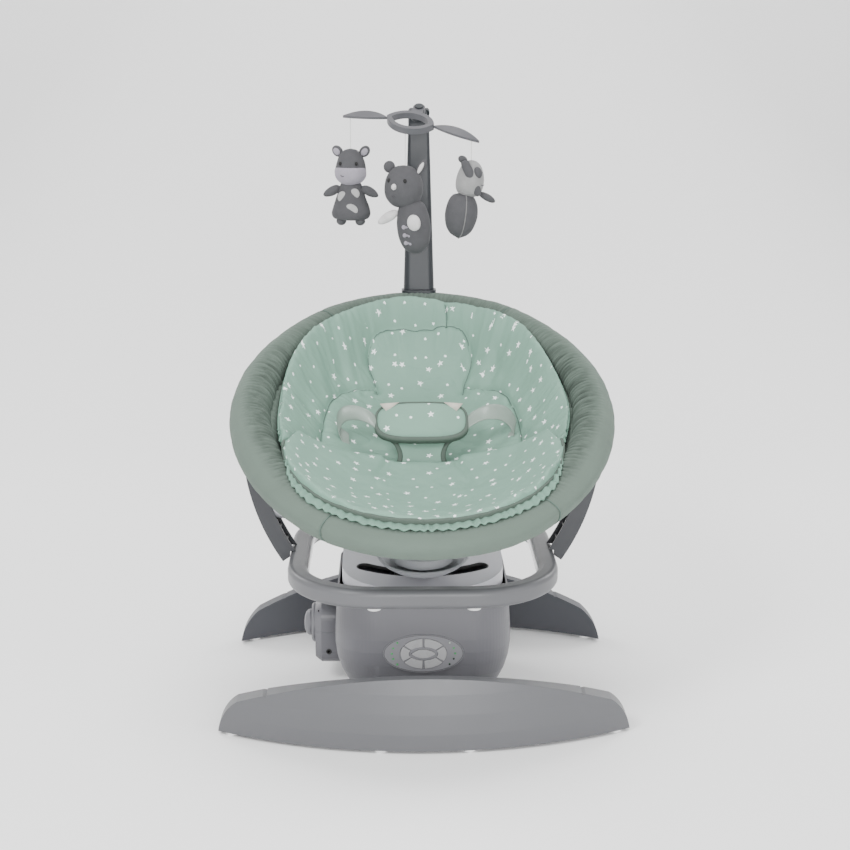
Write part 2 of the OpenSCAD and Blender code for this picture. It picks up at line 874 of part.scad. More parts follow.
// Closed shell from two grids of points of the same size, a lower and an upper one
module grid_shell(lower, upper) {
    rows = len(lower);
    cols = len(lower[0]);
    flat = concat([for (r = lower, p = r) p], [for (r = upper, p = r) p]);
    top = rows * cols;
    polyhedron(flat, concat(
        [for (i = [0 : rows - 2], j = [0 : cols - 2]) each let (a = i * cols + j)
            [[a, a + 1, a + cols + 1], [a, a + cols + 1, a + cols]]],
        [for (i = [0 : rows - 2], j = [0 : cols - 2]) each let (a = top + i * cols + j)
            [[a, a + cols + 1, a + 1], [a, a + cols, a + cols + 1]]],
        [for (j = [0 : cols - 2]) each let (b = (rows - 1) * cols)
            [[j, top + j, top + j + 1], [j, top + j + 1, j + 1],
             [b + j, b + j + 1, top + b + j + 1], [b + j, top + b + j + 1, top + b + j]]],
        [for (i = [0 : rows - 2]) each let (a = i * cols, b = a + cols - 1)
            [[a, a + cols, top + a + cols], [a, top + a + cols, top + a],
             [b, top + b, top + b + cols], [b, top + b + cols, b + cols]]]
    ));
}

// Grid of places inside an oval, by a map of the square onto the disc
function disc_grid(a, b, shift, n) = [
    for (i = [0 : n]) [
        for (j = [0 : n]) let (
            s = 2 * i / n - 1,
            t = 2 * j / n - 1
        ) [a * s * sqrt(1 - t * t / 2), shift + b * t * sqrt(1 - s * s / 2)]
    ]
];

function lifted(grid, lift) =
    [for (row = grid) [for (p = row) [p[0], p[1], bowl(p[0], p[1]) + lift]]];

module seat_sling() {
    grid = disc_grid(sling_a, sling_b, 0, 18);
    color(sage) in_seat_frame() grid_shell(lifted(grid, -sling_t), lifted(grid, 0));
}

module liner_back() {
    grid = disc_grid(sling_a - 12, sling_b - 12, 0, 16);
    color(mint) in_seat_frame()
        grid_shell(lifted(grid, 0.8), lifted(grid, liner_t));
}

// Half-moon grid: rows run from the front edge of the bowl back to the pad's upper edge
function moon_grid(half_w, back_y, front_y, n) = [
    for (i = [0 : n]) [
        for (j = [0 : n / 2]) let (
            s = 2 * i / n - 1,
            front = back_y - (back_y - front_y) * sqrt(1 - pow(0.97 * s, 2))
        ) [half_w * s, front + (back_y - front) * 2 * j / n]
    ]
];

module liner_front() {
    grid = moon_grid(sling_a - 30, -38, 30 - sling_b, 16);
    color(mint) in_seat_frame()
        grid_shell(lifted(grid, liner_t + 2.4), lifted(grid, liner_t + liner_front_t));
}

module crotch_pad() {
    color(mint) in_seat_frame() translate([0, 8, -68]) rotate([34, 0, 0]) {
        linear_extrude(13) translate([0, 38]) round_rect(150, 68, 33);
        translate([-40, -16, 0]) cube([80, 24, 12]);
    }
    color(mint) in_seat_frame() translate([-46, -13, 2 - bowl_depth + liner_t]) cube([92, 12, 38]);
}

// Webbing loop beside the crotch pad
module strap(s) {
    color("silver") in_seat_frame() translate([s * 104, 34, -84])
        rotate([20, 0, s > 0 ? 300 : 60]) rotate_extrude(angle = 180, $fn = 48)
            translate([24, 0]) square([1.8, 25]);
}

module strap_left() { strap(-1); }
module strap_right() { strap(1); }

module post_socket() {
    color(slate) difference() {
        union() {
            translate([0, post_y - 3, post_base_z - 50]) linear_extrude(50) round_rect(50, 34, 10);
            translate([0, post_y - 3, post_base_z]) linear_extrude(5) round_rect(60, 38, 12);
        }
        in_seat_frame() translate([0, oval_b - 1.6, 0]) rotate([0, 90, 0])
            cylinder(d = seat_tube_d + 4, h = 90, center = true);
        translate([0, post_y, post_base_z - 14]) linear_extrude(30) round_rect(28.1, 12.1, 4);
    }
}

// Tapering post with a hook that curves forward at the top
module post_stem() {
    color(slate) {
        translate([0, post_y, post_base_z - 13.9]) linear_extrude(20) round_rect(28, 12, 4);
        hull() {
            translate([0, post_y, post_base_z + 5.1]) linear_extrude(1)
                round_rect(post_w, post_t, 11, $fn = 32);
            translate([0, post_y, post_arc_z - 1]) linear_extrude(1)
                round_rect(post_top_w, hook_t, 5, $fn = 32);
        }
        translate([0, post_y - hook_r, post_arc_z]) rotate([90, 0, 90])
            rotate_extrude(angle = 90 + mobile_tilt, $fn = 96) translate([hook_r, 0])
                round_rect(hook_t, post_top_w, 5, $fn = 32);
        translate([0, mobile_y, mobile_z]) rotate([mobile_tilt, 0, 0]) {
            translate([0, 0, -hook_t / 2]) cylinder(d = 26, h = hook_t);
            translate([-12, 0, -hook_t / 2]) cube([24, hook_end + 3, hook_t]);
            cylinder(d = 9, h = ring_base + ring_band + 1);
            translate([0, 0, ring_base + ring_band + 0.5]) cylinder(d = 15, h = 2);
        }
    }
}

// ---------- mobile ----------

module eye_shape(half_w, half_d) {
    r = (half_w * half_w + half_d * half_d) / (2 * half_d);
    intersection_for(s = [-1, 1])
        translate([0, s * (r - half_d)]) circle(r, $fn = 96);
}

module mobile_ring() {
    color(light_grey) in_mobile_frame() translate([0, 0, ring_base]) difference() {
        union() {
            translate([0, -ring_reach, 0]) linear_extrude(ring_band) difference() {
                eye_shape(ring_half_w, ring_half_d);
                eye_shape(ring_half_w - 9, ring_half_d - 8);
            }
            cylinder(d = 20, h = ring_band);
            translate([-9, 8 - ring_reach + ring_half_d - 14, 0])
                cube([18, ring_reach - ring_half_d, ring_band]);
        }
        translate([0, 0, -1]) cylinder(d = 9 + 2 * running, h = ring_band + 2);
    }
}

// Two leaf blades that droop from the ring's corners
module mobile_leaves() {
    color(mid_grey) in_mobile_frame()
        for (s = [0, 1]) mirror([s, 0, 0]) intersection() {
            translate([ring_half_w + leaf_l / 2 - 1, -ring_reach, -60])
                linear_extrude(90) eye_shape(leaf_l / 2, 11);
            translate([ring_half_w + 12, 0, ring_base - 170]) rotate([90, 0, 0])
                linear_extrude(120) difference() {
                    circle(r = 178, $fn = 160);
                    circle(r = 174, $fn = 160);
                }
        }
}

left_hang = [-107, 0, 1.1];
right_hang = [107, 0, 1.1];
middle_hang = [0, -25, 5.5];

// Place of a point of the mobile ring in the object's frame
function mobile_point(p) = let (
    q = p + [0, -ring_reach, 0],
    x = q[0] * cos(mobile_yaw) + q[1] * sin(mobile_yaw),
    y = q[1] * cos(mobile_yaw) - q[0] * sin(mobile_yaw)
) [
    x,
    mobile_y + y * cos(mobile_tilt) - q[2] * sin(mobile_tilt),
    mobile_z + y * sin(mobile_tilt) + q[2] * cos(mobile_tilt)
];

// A plush toy: a head, a body, ears, arms and its string, hung from a point
module toy(hang, string, head, body_size) {
    at = mobile_point(hang);
    translate([at[0], at[1], at[2] - string]) {
        cylinder(d = 1.5, h = string - 0.5, $fn = 16);
        hull() {
            translate([0, 0, -head]) sphere(head, $fn = 28);
            translate([0, 0, -2.3 * head]) sphere(0.72 * head, $fn = 28);
            translate([0, 0, -body_size]) sphere(0.9 * head, $fn = 28);
        }
        for (s = [-1, 1]) {
            translate([s * 0.8 * head, 0, -0.25 * head]) sphere(0.3 * head, $fn = 20);
            hull() {
                translate([s * 0.6 * head, 0, 0.7 * head - body_size])
                    sphere(0.36 * head, $fn = 20);
                translate([s * 1.25 * head, -3, 0.5 * head - body_size])
                    sphere(0.3 * head, $fn = 20);
            }
        }
    }
}

module toy_left() { color(plush_grey) toy(left_hang, 52, 27, 106); }
module toy_middle() { color(plush_grey) toy(middle_hang, 52, 31, 121); }
module toy_right() { color(plush_grey) toy(right_hang, 33, 25, 108); }

front_leg();
rear_leg();
floor_pads();
cross_tubes();
tube_clamps();
base_screws();
base_tray();
housing_shell();
top_cap();
slot_gasket();
control_bezel();
status_leds();
circuit_board();
speaker();
drive_motor();
gear_frame();
shaft_bearings();
pod_upper_shell();
pod_lower_shell();
pod_collar();
dc_inlet();
pod_knob();
drive_pinion();
sector_gear();
swing_shaft();
swing_arm();
slot_shield();
saucer();
button_centre();
button_upper_right();
button_upper_left();
button_left();
button_lower_left();
button_lower_right();
button_right();
seat_bridge();
hoop();
hoop_trim();
hoop_pads();
strut_left();
strut_right();
pivot_pins();
seat_tube();
hub_bracket_left();
hub_bracket_right();
rim_roll();
seat_sling();
liner_back();
liner_front();
crotch_pad();
strap_left();
strap_right();
post_socket();
post_stem();
mobile_ring();
mobile_leaves();
toy_left();
toy_middle();
toy_right();
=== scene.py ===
"""Baby swing: the looks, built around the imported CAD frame.

Units are metres; the front faces -Y.
"""

import json
import math
import random

import bmesh
import bpy
import numpy as np
from mathutils import Matrix, Vector, noise


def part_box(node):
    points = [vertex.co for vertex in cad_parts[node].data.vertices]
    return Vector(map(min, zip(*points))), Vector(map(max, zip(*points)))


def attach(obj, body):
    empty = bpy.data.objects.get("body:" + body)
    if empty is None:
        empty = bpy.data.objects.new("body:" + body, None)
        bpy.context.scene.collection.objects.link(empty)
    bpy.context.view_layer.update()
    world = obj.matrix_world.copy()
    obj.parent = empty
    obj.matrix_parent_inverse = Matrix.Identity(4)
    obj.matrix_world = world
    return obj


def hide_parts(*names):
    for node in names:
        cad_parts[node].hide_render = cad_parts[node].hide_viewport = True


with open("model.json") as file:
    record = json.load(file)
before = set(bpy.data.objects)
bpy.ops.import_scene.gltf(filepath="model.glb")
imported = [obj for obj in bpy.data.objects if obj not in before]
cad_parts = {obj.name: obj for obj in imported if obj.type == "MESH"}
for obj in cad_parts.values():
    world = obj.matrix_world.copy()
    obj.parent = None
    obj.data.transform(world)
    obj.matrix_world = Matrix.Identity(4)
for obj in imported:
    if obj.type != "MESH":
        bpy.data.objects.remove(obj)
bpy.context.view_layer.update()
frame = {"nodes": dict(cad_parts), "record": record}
NODES = frame["nodes"]
TAU = 2 * math.pi

# ---------------------------------------------------------------- places read from the frame

TUBE_R = 0.010
tube_low, tube_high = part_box("seat_tube")
rim_low, rim_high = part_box("rim_roll")
SEAT_CENTRE = (tube_low + tube_high) / 2
half_tube = (tube_high - tube_low) / 2
OVAL_A = half_tube.x - TUBE_R
OVAL_B = math.hypot(half_tube.y - TUBE_R, half_tube.z - TUBE_R)
SEAT_TILT = math.atan2(half_tube.z - TUBE_R, half_tube.y - TUBE_R)
RIM_R = (rim_high.x - rim_low.x) / 2 - OVAL_A
END_R = 0.222
SLING_A = OVAL_A - RIM_R - 0.002
SLING_B = OVAL_B - RIM_R - 0.002
BOWL_DEPTH = 0.122
BOWL_POWER = 2.6
BOWL_SHIFT = 0.015

SEAT_MATRIX = Matrix.Translation(SEAT_CENTRE) @ Matrix.Rotation(SEAT_TILT, 4, "X")


def smoothstep(low, high, x):
    t = np.clip((x - low) / (high - low), 0, 1)
    return t * t * (3 - 2 * t)


def noise_at(points, scale, seed=0.0):
    """Smooth noise from -1 to 1 at an array of points, with features about 1/scale across."""
    shape = points.shape[:-1]
    flat = points.reshape(-1, points.shape[-1])
    offset = Vector((seed * 17.3, seed * 5.1, seed * 9.7))
    if flat.shape[1] == 2:
        flat = np.column_stack([flat, np.zeros(len(flat))])
    values = [noise.noise(Vector(p) * scale + offset) for p in flat]
    return np.array(values).reshape(shape)


# ---------------------------------------------------------------- mesh helpers


def object_from(name, vertices, faces, uvs=None, smooth=True):
    """A mesh object from vertices and faces; uvs holds one pair for each vertex."""
    mesh = bpy.data.meshes.new(name)
    mesh.from_pydata([tuple(v) for v in vertices], [], [tuple(f) for f in faces])
    if uvs is not None:
        layer = mesh.uv_layers.new(name="flat")
        for loop in mesh.loops:
            layer.data[loop.index].uv = uvs[loop.vertex_index]
    if smooth:
        mesh.polygons.foreach_set("use_smooth", [True] * len(mesh.polygons))
    mesh.validate()
    obj = bpy.data.objects.new(name, mesh)
    bpy.context.scene.collection.objects.link(obj)
    return obj


def grid_faces(rows, cols, wrap_rows=False, wrap_cols=False, start=0, flip=False):
    faces = []
    for i in range(rows if wrap_rows else rows - 1):
        for j in range(cols if wrap_cols else cols - 1):
            a = start + i * cols + j
            b = start + i * cols + (j + 1) % cols
            c = start + (i + 1) % rows * cols + (j + 1) % cols
            d = start + (i + 1) % rows * cols + j
            faces.append((d, c, b, a) if flip else (a, b, c, d))
    return faces


def closed_sheet(name, top, bottom, uv=None):
    """A closed shell from two grids of points of the same size."""
    rows, cols = top.shape[:2]
    count = rows * cols
    vertices = np.concatenate([top.reshape(-1, 3), bottom.reshape(-1, 3)])
    faces = grid_faces(rows, cols, start=0, flip=True)
    faces += grid_faces(rows, cols, start=count)
    border = (
        [(0, j) for j in range(cols)]
        + [(i, cols - 1) for i in range(1, rows)]
        + [(rows - 1, j) for j in range(cols - 2, -1, -1)]
        + [(i, 0) for i in range(rows - 2, 0, -1)]
    )
    ids = [i * cols + j for i, j in border]
    for k, a in enumerate(ids):
        b = ids[(k + 1) % len(ids)]
        faces.append((a, b, b + count, a + count))
    uvs = None
    if uv is not None:
        flat = uv.reshape(-1, 2)
        uvs = np.concatenate([flat, flat])
    obj = object_from(name, vertices, faces, uvs)
    fix_normals(obj)
    return obj


def fix_normals(obj):
    work = bmesh.new()
    work.from_mesh(obj.data)
    bmesh.ops.recalc_face_normals(work, faces=work.faces)
    work.to_mesh(obj.data)
    work.free()


def smooth_path(points, count, closed=False):
    """Points along a smooth curve through the given points, evenly spaced."""
    p = np.array(points, float)
    if closed:
        p = np.vstack([p[-1:], p, p[:2]])
    else:
        p = np.vstack([2 * p[0] - p[1], p, 2 * p[-1] - p[-2]])
    out = []
    for k in range(1, len(p) - 2):
        for t in np.linspace(0, 1, 16, endpoint=False):
            a, b, c, d = p[k - 1 : k + 3]
            out.append(
                0.5 * (2 * b + (c - a) * t + (2 * a - 5 * b + 4 * c - d) * t**2
                       + (3 * b - a - 3 * c + d) * t**3)
            )
    out.append(p[-2])
    out = np.array(out)
    length = np.concatenate([[0], np.cumsum(np.linalg.norm(np.diff(out, axis=0), axis=1))])
    at = np.linspace(0, length[-1], count, endpoint=not closed)
    return np.column_stack([np.interp(at, length, out[:, k]) for k in range(3)])


def sweep(name, path, section, up=(0, 0, 1), closed=False, scale=None):
    """Sweeps a closed section, pairs across and along up, along a path."""
    path = np.array(path)
    n, m = len(path), len(section)
    ahead = np.roll(path, -1, 0) if closed else np.vstack([path[1:], 2 * path[-1] - path[-2]])
    back = np.roll(path, 1, 0) if closed else np.vstack([2 * path[0] - path[1], path[:-1]])
    tangent = ahead - back
    tangent /= np.linalg.norm(tangent, axis=1)[:, None]
    up = np.broadcast_to(np.array(up, float), path.shape)
    side = np.cross(tangent, up)
    side /= np.linalg.norm(side, axis=1)[:, None]
    top = np.cross(side, tangent)
    size = np.ones(n) if scale is None else np.array(scale)
    section = np.array(section)
    points = (
        path[:, None]
        + (side[:, None] * section[None, :, :1] + top[:, None] * section[None, :, 1:])
        * size[:, None, None]
    )
    faces = grid_faces(n, m, wrap_rows=closed, wrap_cols=True)
    if not closed:
        faces += [tuple(range(m))[::-1], tuple((n - 1) * m + j for j in range(m))]
    along = np.concatenate([[0], np.cumsum(np.linalg.norm(np.diff(path, axis=0), axis=1))])
    uvs = np.array([[j / m * 0.02, along[i]] for i in range(n) for j in range(m)])
    obj = object_from(name, points.reshape(-1, 3), faces, uvs)
    fix_normals(obj)
    return obj


def ring_section(radius, count=12, flat=1.0):
    return [
        (radius * math.cos(TAU * k / count), flat * radius * math.sin(TAU * k / count))
        for k in range(count)
    ]


def rounded_bar_section(width, height, radius, steps=3):
    points = []
    for cx, cy, start in ((1, 1, 0), (-1, 1, 90), (-1, -1, 180), (1, -1, 270)):
        for k in range(steps + 1):
            t = math.radians(start + 90 * k / steps)
            points.append((
                cx * (width / 2 - radius) + radius * math.cos(t),
                cy * (height / 2 - radius) + radius * math.sin(t),
            ))
    return points


def place(obj, matrix):
    obj.data.transform(matrix)
    return obj


def finish_piece(obj, body, material, replaces=()):
    obj.data.materials.clear()
    obj.data.materials.append(material)
    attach(obj, body)
    if replaces:
        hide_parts(*replaces)
    return obj


# ---------------------------------------------------------------- materials


def add(tree, kind, inputs=None, **settings):
    made = tree.nodes.new("ShaderNode" + kind)
    for key, value in settings.items():
        setattr(made, key, value)
    for key, value in (inputs or {}).items():
        if isinstance(value, bpy.types.NodeSocket):
            tree.links.new(value, made.inputs[key])
        else:
            made.inputs[key].default_value = value
    return made


def math_node(tree, operation, a, b=0.0, c=0.0):
    return add(tree, "Math", {0: a, 1: b, 2: c}, operation=operation).outputs[0]


def mix_colour(tree, factor, a, b):
    made = add(tree, "Mix", data_type="RGBA")
    for socket, value in ((made.inputs[0], factor), (made.inputs[6], a), (made.inputs[7], b)):
        if isinstance(value, bpy.types.NodeSocket):
            tree.links.new(value, socket)
        else:
            socket.default_value = value
    return made.outputs[2]


def rgba(colour, gain=1.0):
    return tuple(min(1.0, c * gain) for c in colour[:3]) + (1.0,)


def start_material(name, roughness, sheen=0.0, sheen_tint=(1, 1, 1), coat=0.0, metallic=0.0):
    material = bpy.data.materials.new(name)
    material.use_nodes = True
    tree = material.node_tree
    shader = tree.nodes["Principled BSDF"]
    shader.inputs["Roughness"].default_value = roughness
    shader.inputs["Metallic"].default_value = metallic
    shader.inputs["Sheen Weight"].default_value = sheen
    shader.inputs["Sheen Roughness"].default_value = 0.45
    shader.inputs["Sheen Tint"].default_value = rgba(sheen_tint)
    shader.inputs["Specular IOR Level"].default_value = 0.35
    shader.inputs["Coat Weight"].default_value = coat
    shader.inputs["Coat Roughness"].default_value = 0.2
    return material, tree, shader


def object_coordinates(tree):
    return add(tree, "TexCoord").outputs["Object"]


def add_bump(tree, shader, height, strength, distance, before=None):
    inputs = {"Strength": strength, "Distance": distance, "Height": height}
    bump = add(tree, "Bump", inputs)
    if before is not None:
        tree.links.new(before, bump.inputs["Normal"])
    tree.links.new(bump.outputs["Normal"], shader.inputs["Normal"])
    return bump.outputs["Normal"]


def tint(tree, shader, factor, colour, dark, light):
    """Colours the shader between a darker and a lighter gain of one colour."""
    mixed = mix_colour(tree, factor, rgba(colour, dark), rgba(colour, light))
    tree.links.new(mixed, shader.inputs["Base Color"])


def roughen(tree, shader, factor, low, high):
    rough = add(tree, "MapRange", {"Value": factor, "To Min": low, "To Max": high}).outputs[0]
    tree.links.new(rough, shader.inputs["Roughness"])


def plastic(name, colour, roughness=0.42, grain=1400, depth=0.00006, edge=0.0009, coat=0.0):
    """Moulded plastic: fine spark-eroded grain, slightly uneven sheen and softened edges."""
    material, tree, shader = start_material(name, roughness, coat=coat)
    at = object_coordinates(tree)
    cloud = add(tree, "TexNoise", {"Vector": at, "Scale": 9.0, "Detail": 3.0}).outputs["Fac"]
    tint(tree, shader, cloud, colour, 0.94, 1.06)
    spots = add(tree, "TexNoise", {"Vector": at, "Scale": 60.0, "Detail": 4.0}).outputs["Fac"]
    roughen(tree, shader, spots, roughness - 0.05, roughness + 0.06)
    fine = add(tree, "TexNoise", {"Vector": at, "Scale": float(grain), "Detail": 2.0}).outputs["Fac"]
    rounded = add(tree, "Bevel", {"Radius": edge}, samples=3).outputs["Normal"]
    add_bump(tree, shader, fine, 0.35, depth, rounded)
    return material


def metal(name, colour, roughness=0.3, stretch=(1, 1, 60), coated=False):
    """Steel with a drawn or brushed grain, or a satin coat over metal."""
    material, tree, shader = start_material(name, roughness, metallic=0.35 if coated else 1.0)
    at = object_coordinates(tree)
    scaled = add(tree, "Mapping", {"Vector": at, "Scale": stretch}).outputs[0]
    lines = add(tree, "TexNoise", {"Vector": scaled, "Scale": 30.0, "Detail": 5.0}).outputs["Fac"]
    tint(tree, shader, lines, colour, 0.9, 1.08)
    roughen(tree, shader, lines, roughness - 0.06, roughness + 0.08)
    rounded = add(tree, "Bevel", {"Radius": 0.0006}, samples=3).outputs["Normal"]
    add_bump(tree, shader, lines, 0.2, 0.00004, rounded)
    return material


def weave_height(tree, at, pitch):
    """Plain weave: two crossed threads of the given pitch."""
    thread = {"Vector": at, "Scale": 1.0 / pitch / TAU * 3.14, "Distortion": 0.4, "Detail": 1.0}
    warp, weft = [add(tree, "TexWave", thread, bands_direction=way).outputs["Fac"] for way in "XY"]
    return math_node(tree, "MULTIPLY", warp, weft)


def star_mask(tree, at, spacing, size):
    """Small five-pointed stars and dots, scattered one to a cell, each with its own size and turn."""
    scaled = add(tree, "VectorMath", {0: at, 3: 1.0 / spacing}, operation="SCALE").outputs[0]
    cells = add(tree, "TexVoronoi", {"Vector": scaled, "Scale": 1.0, "Randomness": 0.8},
                voronoi_dimensions="2D")
    local = add(tree, "VectorMath", {0: scaled, 1: cells.outputs["Position"]},
                operation="SUBTRACT").outputs[0]
    parts = add(tree, "SeparateXYZ", {0: local})
    dice = add(tree, "SeparateColor", {0: cells.outputs["Color"]})
    angle = math_node(tree, "ARCTAN2", parts.outputs[1], parts.outputs[0])
    turned = math_node(tree, "MULTIPLY_ADD", dice.outputs[0], TAU, angle)
    wave = math_node(tree, "SINE", math_node(tree, "MULTIPLY", turned, 2.5))
    dip = math_node(tree, "POWER", math_node(tree, "ABSOLUTE", wave), 0.75)
    big = math_node(tree, "GREATER_THAN", dice.outputs[1], 0.5)
    depth = math_node(tree, "MULTIPLY_ADD", big, 0.3, 0.28)
    outline = math_node(tree, "SUBTRACT", 1.0, math_node(tree, "MULTIPLY", dip, depth))
    reach = math_node(tree, "MULTIPLY_ADD", big, size / spacing * 0.55, size / spacing * 0.45)
    radius = add(tree, "VectorMath", {0: local}, operation="LENGTH").outputs["Value"]
    edge = math_node(tree, "MULTIPLY", outline, reach)
    return math_node(tree, "LESS_THAN", radius, edge)


def fabric(name, colour, pitch=0.0007, sheen=0.35, stars=False, wrinkle=0.0006, roughness=0.85):
    """Woven cloth: crossed threads, faded patches, soft sheen and small creases."""
    material, tree, shader = start_material(name, roughness, sheen, rgba(colour, 2.2)[:3])
    at = object_coordinates(tree)
    cloud = add(tree, "TexNoise", {"Vector": at, "Scale": 14.0, "Detail": 5.0}).outputs["Fac"]
    base = mix_colour(tree, cloud, rgba(colour, 0.88), rgba(colour, 1.1))
    threads = weave_height(tree, at, pitch)
    base = mix_colour(tree, math_node(tree, "MULTIPLY", threads, 0.12), base, rgba(colour, 1.4))
    if stars:
        flat = add(tree, "UVMap", uv_map="flat").outputs[0]
        mask = star_mask(tree, flat, 0.032, 0.0062)
        base = mix_colour(tree, math_node(tree, "MULTIPLY", mask, 0.92), base, (0.86, 0.9, 0.89, 1))
    tree.links.new(base, shader.inputs["Base Color"])
    first = add_bump(tree, shader, threads, 0.5, 0.00012)
    crease = add(tree, "TexNoise", {"Vector": at, "Scale": 75.0, "Detail": 4.0,
                                    "Distortion": 0.6}).outputs["Fac"]
    add_bump(tree, shader, crease, 0.35, wrinkle, first)
    return material


def gathered_fabric_painted_shade(name, colour):
    """Woven cloth drawn up by elastic, with painted shade in its folds and over the side where the first
    flat coordinate is high.
    """
    material = fabric(name, colour, 0.0008, 0.12)
    tree = material.node_tree
    shader = tree.nodes["Principled BSDF"]
    flat = add(tree, "UVMap", uv_map="flat").outputs[0]
    parts = add(tree, "SeparateXYZ", {0: flat})
    drawn = add(tree, "MapRange", {"Value": parts.outputs[0], "From Min": 0.0, "From Max": 0.85},
                interpolation_type="SMOOTHSTEP").outputs[0]
    across = math_node(tree, "MULTIPLY", parts.outputs[0], 1.4)
    along = math_node(tree, "MULTIPLY", parts.outputs[1], 150.0)
    spread = add(tree, "CombineXYZ", {0: across, 1: along}).outputs[0]
    folds = add(tree, "TexNoise", {"Vector": spread, "Scale": 1.0, "Detail": 3.0}).outputs["Fac"]
    lines = add(tree, "MapRange", {"Value": folds, "From Min": 0.35, "From Max": 0.62}).outputs[0]
    # Painted shade: the inner side and the fold lines are mixed towards 0.28 of the colour.
    shade = math_node(tree, "MULTIPLY", drawn, math_node(tree, "MULTIPLY_ADD", lines, -0.62, 0.72))
    base = shader.inputs["Base Color"].links[0].from_socket
    tree.links.new(mix_colour(tree, shade, base, rgba(colour, 0.28)), shader.inputs["Base Color"])
    return material


def plush(name, colour):
    """Short-pile plush: soft tufts, bright at the rim."""
    material, tree, shader = start_material(name, 0.95, 0.35, rgba(colour, 2.0)[:3])
    at = object_coordinates(tree)
    tufts = add(tree, "TexNoise", {"Vector": at, "Scale": 900.0, "Detail": 3.0}).outputs["Fac"]
    patches = add(tree, "TexNoise", {"Vector": at, "Scale": 90.0, "Detail": 3.0}).outputs["Fac"]
    mixed = math_node(tree, "MULTIPLY_ADD", tufts, 0.5, math_node(tree, "MULTIPLY", patches, 0.5))
    tint(tree, shader, mixed, colour, 0.72, 1.3)
    add_bump(tree, shader, mixed, 0.7, 0.0008)
    return material


def plain(name, colour, roughness=0.5, sheen=0.0):
    """Small smooth trim such as an eye, a stitch or a lens, with a faint unevenness."""
    material, tree, shader = start_material(name, roughness, sheen)
    at = object_coordinates(tree)
    cloud = add(tree, "TexNoise", {"Vector": at, "Scale": 300.0, "Detail": 2.0}).outputs["Fac"]
    tint(tree, shader, cloud, colour, 0.92, 1.08)
    add_bump(tree, shader, cloud, 0.1, 0.00005)
    return material


def webbing_material(name, colour):
    """Satin harness webbing with ribs across it."""
    material, tree, shader = start_material(name, 0.26, 0.1)
    shader.inputs["Specular IOR Level"].default_value = 0.7
    flat = add(tree, "UVMap", uv_map="flat").outputs[0]
    ribs = add(tree, "TexWave", {"Vector": flat, "Scale": 260.0, "Distortion": 0.2},
               bands_direction="Y").outputs["Fac"]
    tint(tree, shader, ribs, colour, 0.82, 1.12)
    add_bump(tree, shader, ribs, 0.6, 0.00025)
    return material


record = frame["record"]
SLOT = {m["slot"]: m for m in record["materials"]}
# Tones of the slots under the studio lights, as red, green and blue factors on the record's colours; partly
# painted light and shade, since the cap and saucer under the seat are lifted above their record colour to
# stand for light that does not reach them.
TONE_AND_PAINTED_LIGHT = {
    "rim_fabric": (0.32, 0.35, 0.335), "sling_fabric": (0.32, 0.35, 0.335),
    "liner_fabric": (0.46, 0.54, 0.50),
    "webbing": (0.40, 0.46, 0.42), "plush": (0.43, 0.43, 0.43), "mobile_grey": (0.22, 0.22, 0.23),
    "post_slate": (0.27, 0.27, 0.27), "leg_front": (0.29, 0.29, 0.30), "leg_rear": (0.40, 0.40, 0.43),
    "hoop_grey": (0.33, 0.33, 0.34), "strut_grey": (0.30, 0.30, 0.30), "housing_grey": (0.45, 0.45, 0.46),
    "cap_grey": (1.15, 1.15, 1.15), "saucer_grey": (1.1, 1.1, 1.1), "bezel_grey": (0.72, 0.72, 0.72),
    "button_silver": (0.75, 0.75, 0.75),
}
COLOUR = {slot: [c * t for c, t in zip(m["base_color"], TONE_AND_PAINTED_LIGHT.get(slot, (1, 1, 1)))]
          for slot, m in SLOT.items()}

# How the material of each slot is made, and its settings after the colour.
MADE = {
    "leg_front": (plastic, 0.40),
    "leg_rear": (plastic, 0.46),
    "pad_rubber": (plain, 0.35),
    "steel_tube": (metal, 0.28, (60, 1, 60)),
    "dark_plastic": (plastic, 0.5),
    "screw_steel": (metal, 0.32),
    "housing_grey": (plastic, 0.36),
    "cap_grey": (plastic, 0.32),
    "gasket_black": (plastic, 0.6),
    "bezel_grey": (plastic, 0.38),
    "led_lens": (plain, 0.2),
    "board_green": (plain, 0.3),
    "speaker_black": (plain, 0.7),
    "motor_steel": (metal,),
    "gear_white": (plastic, 0.4),
    "arm_black": (metal, 0.5, (20, 20, 20), True),
    "saucer_grey": (metal, 0.34, (20, 20, 20), True),
    "button_silver": (plastic, 0.28, 2200, 0.00003, 0.0006, 0.3),
    "hoop_grey": (plastic, 0.38),
    "trim_silver": (plastic, 0.2, 2200, 0.00002, 0.0004, 0.5),
    "strut_grey": (plastic, 0.42),
    "rim_fabric": (fabric, 0.0008, 0.12),
    "sling_fabric": (fabric, 0.0008, 0.12),
    "liner_fabric": (fabric, 0.0006, 0.08, True, 0.0006, 0.62),
    "webbing": (webbing_material,),
    "post_slate": (plastic, 0.4),
    "mobile_grey": (plastic, 0.36),
    "plush": (plush,),
}
MATERIALS = {slot: made[0](slot, COLOUR[slot], *made[1:]) for slot, made in MADE.items()}
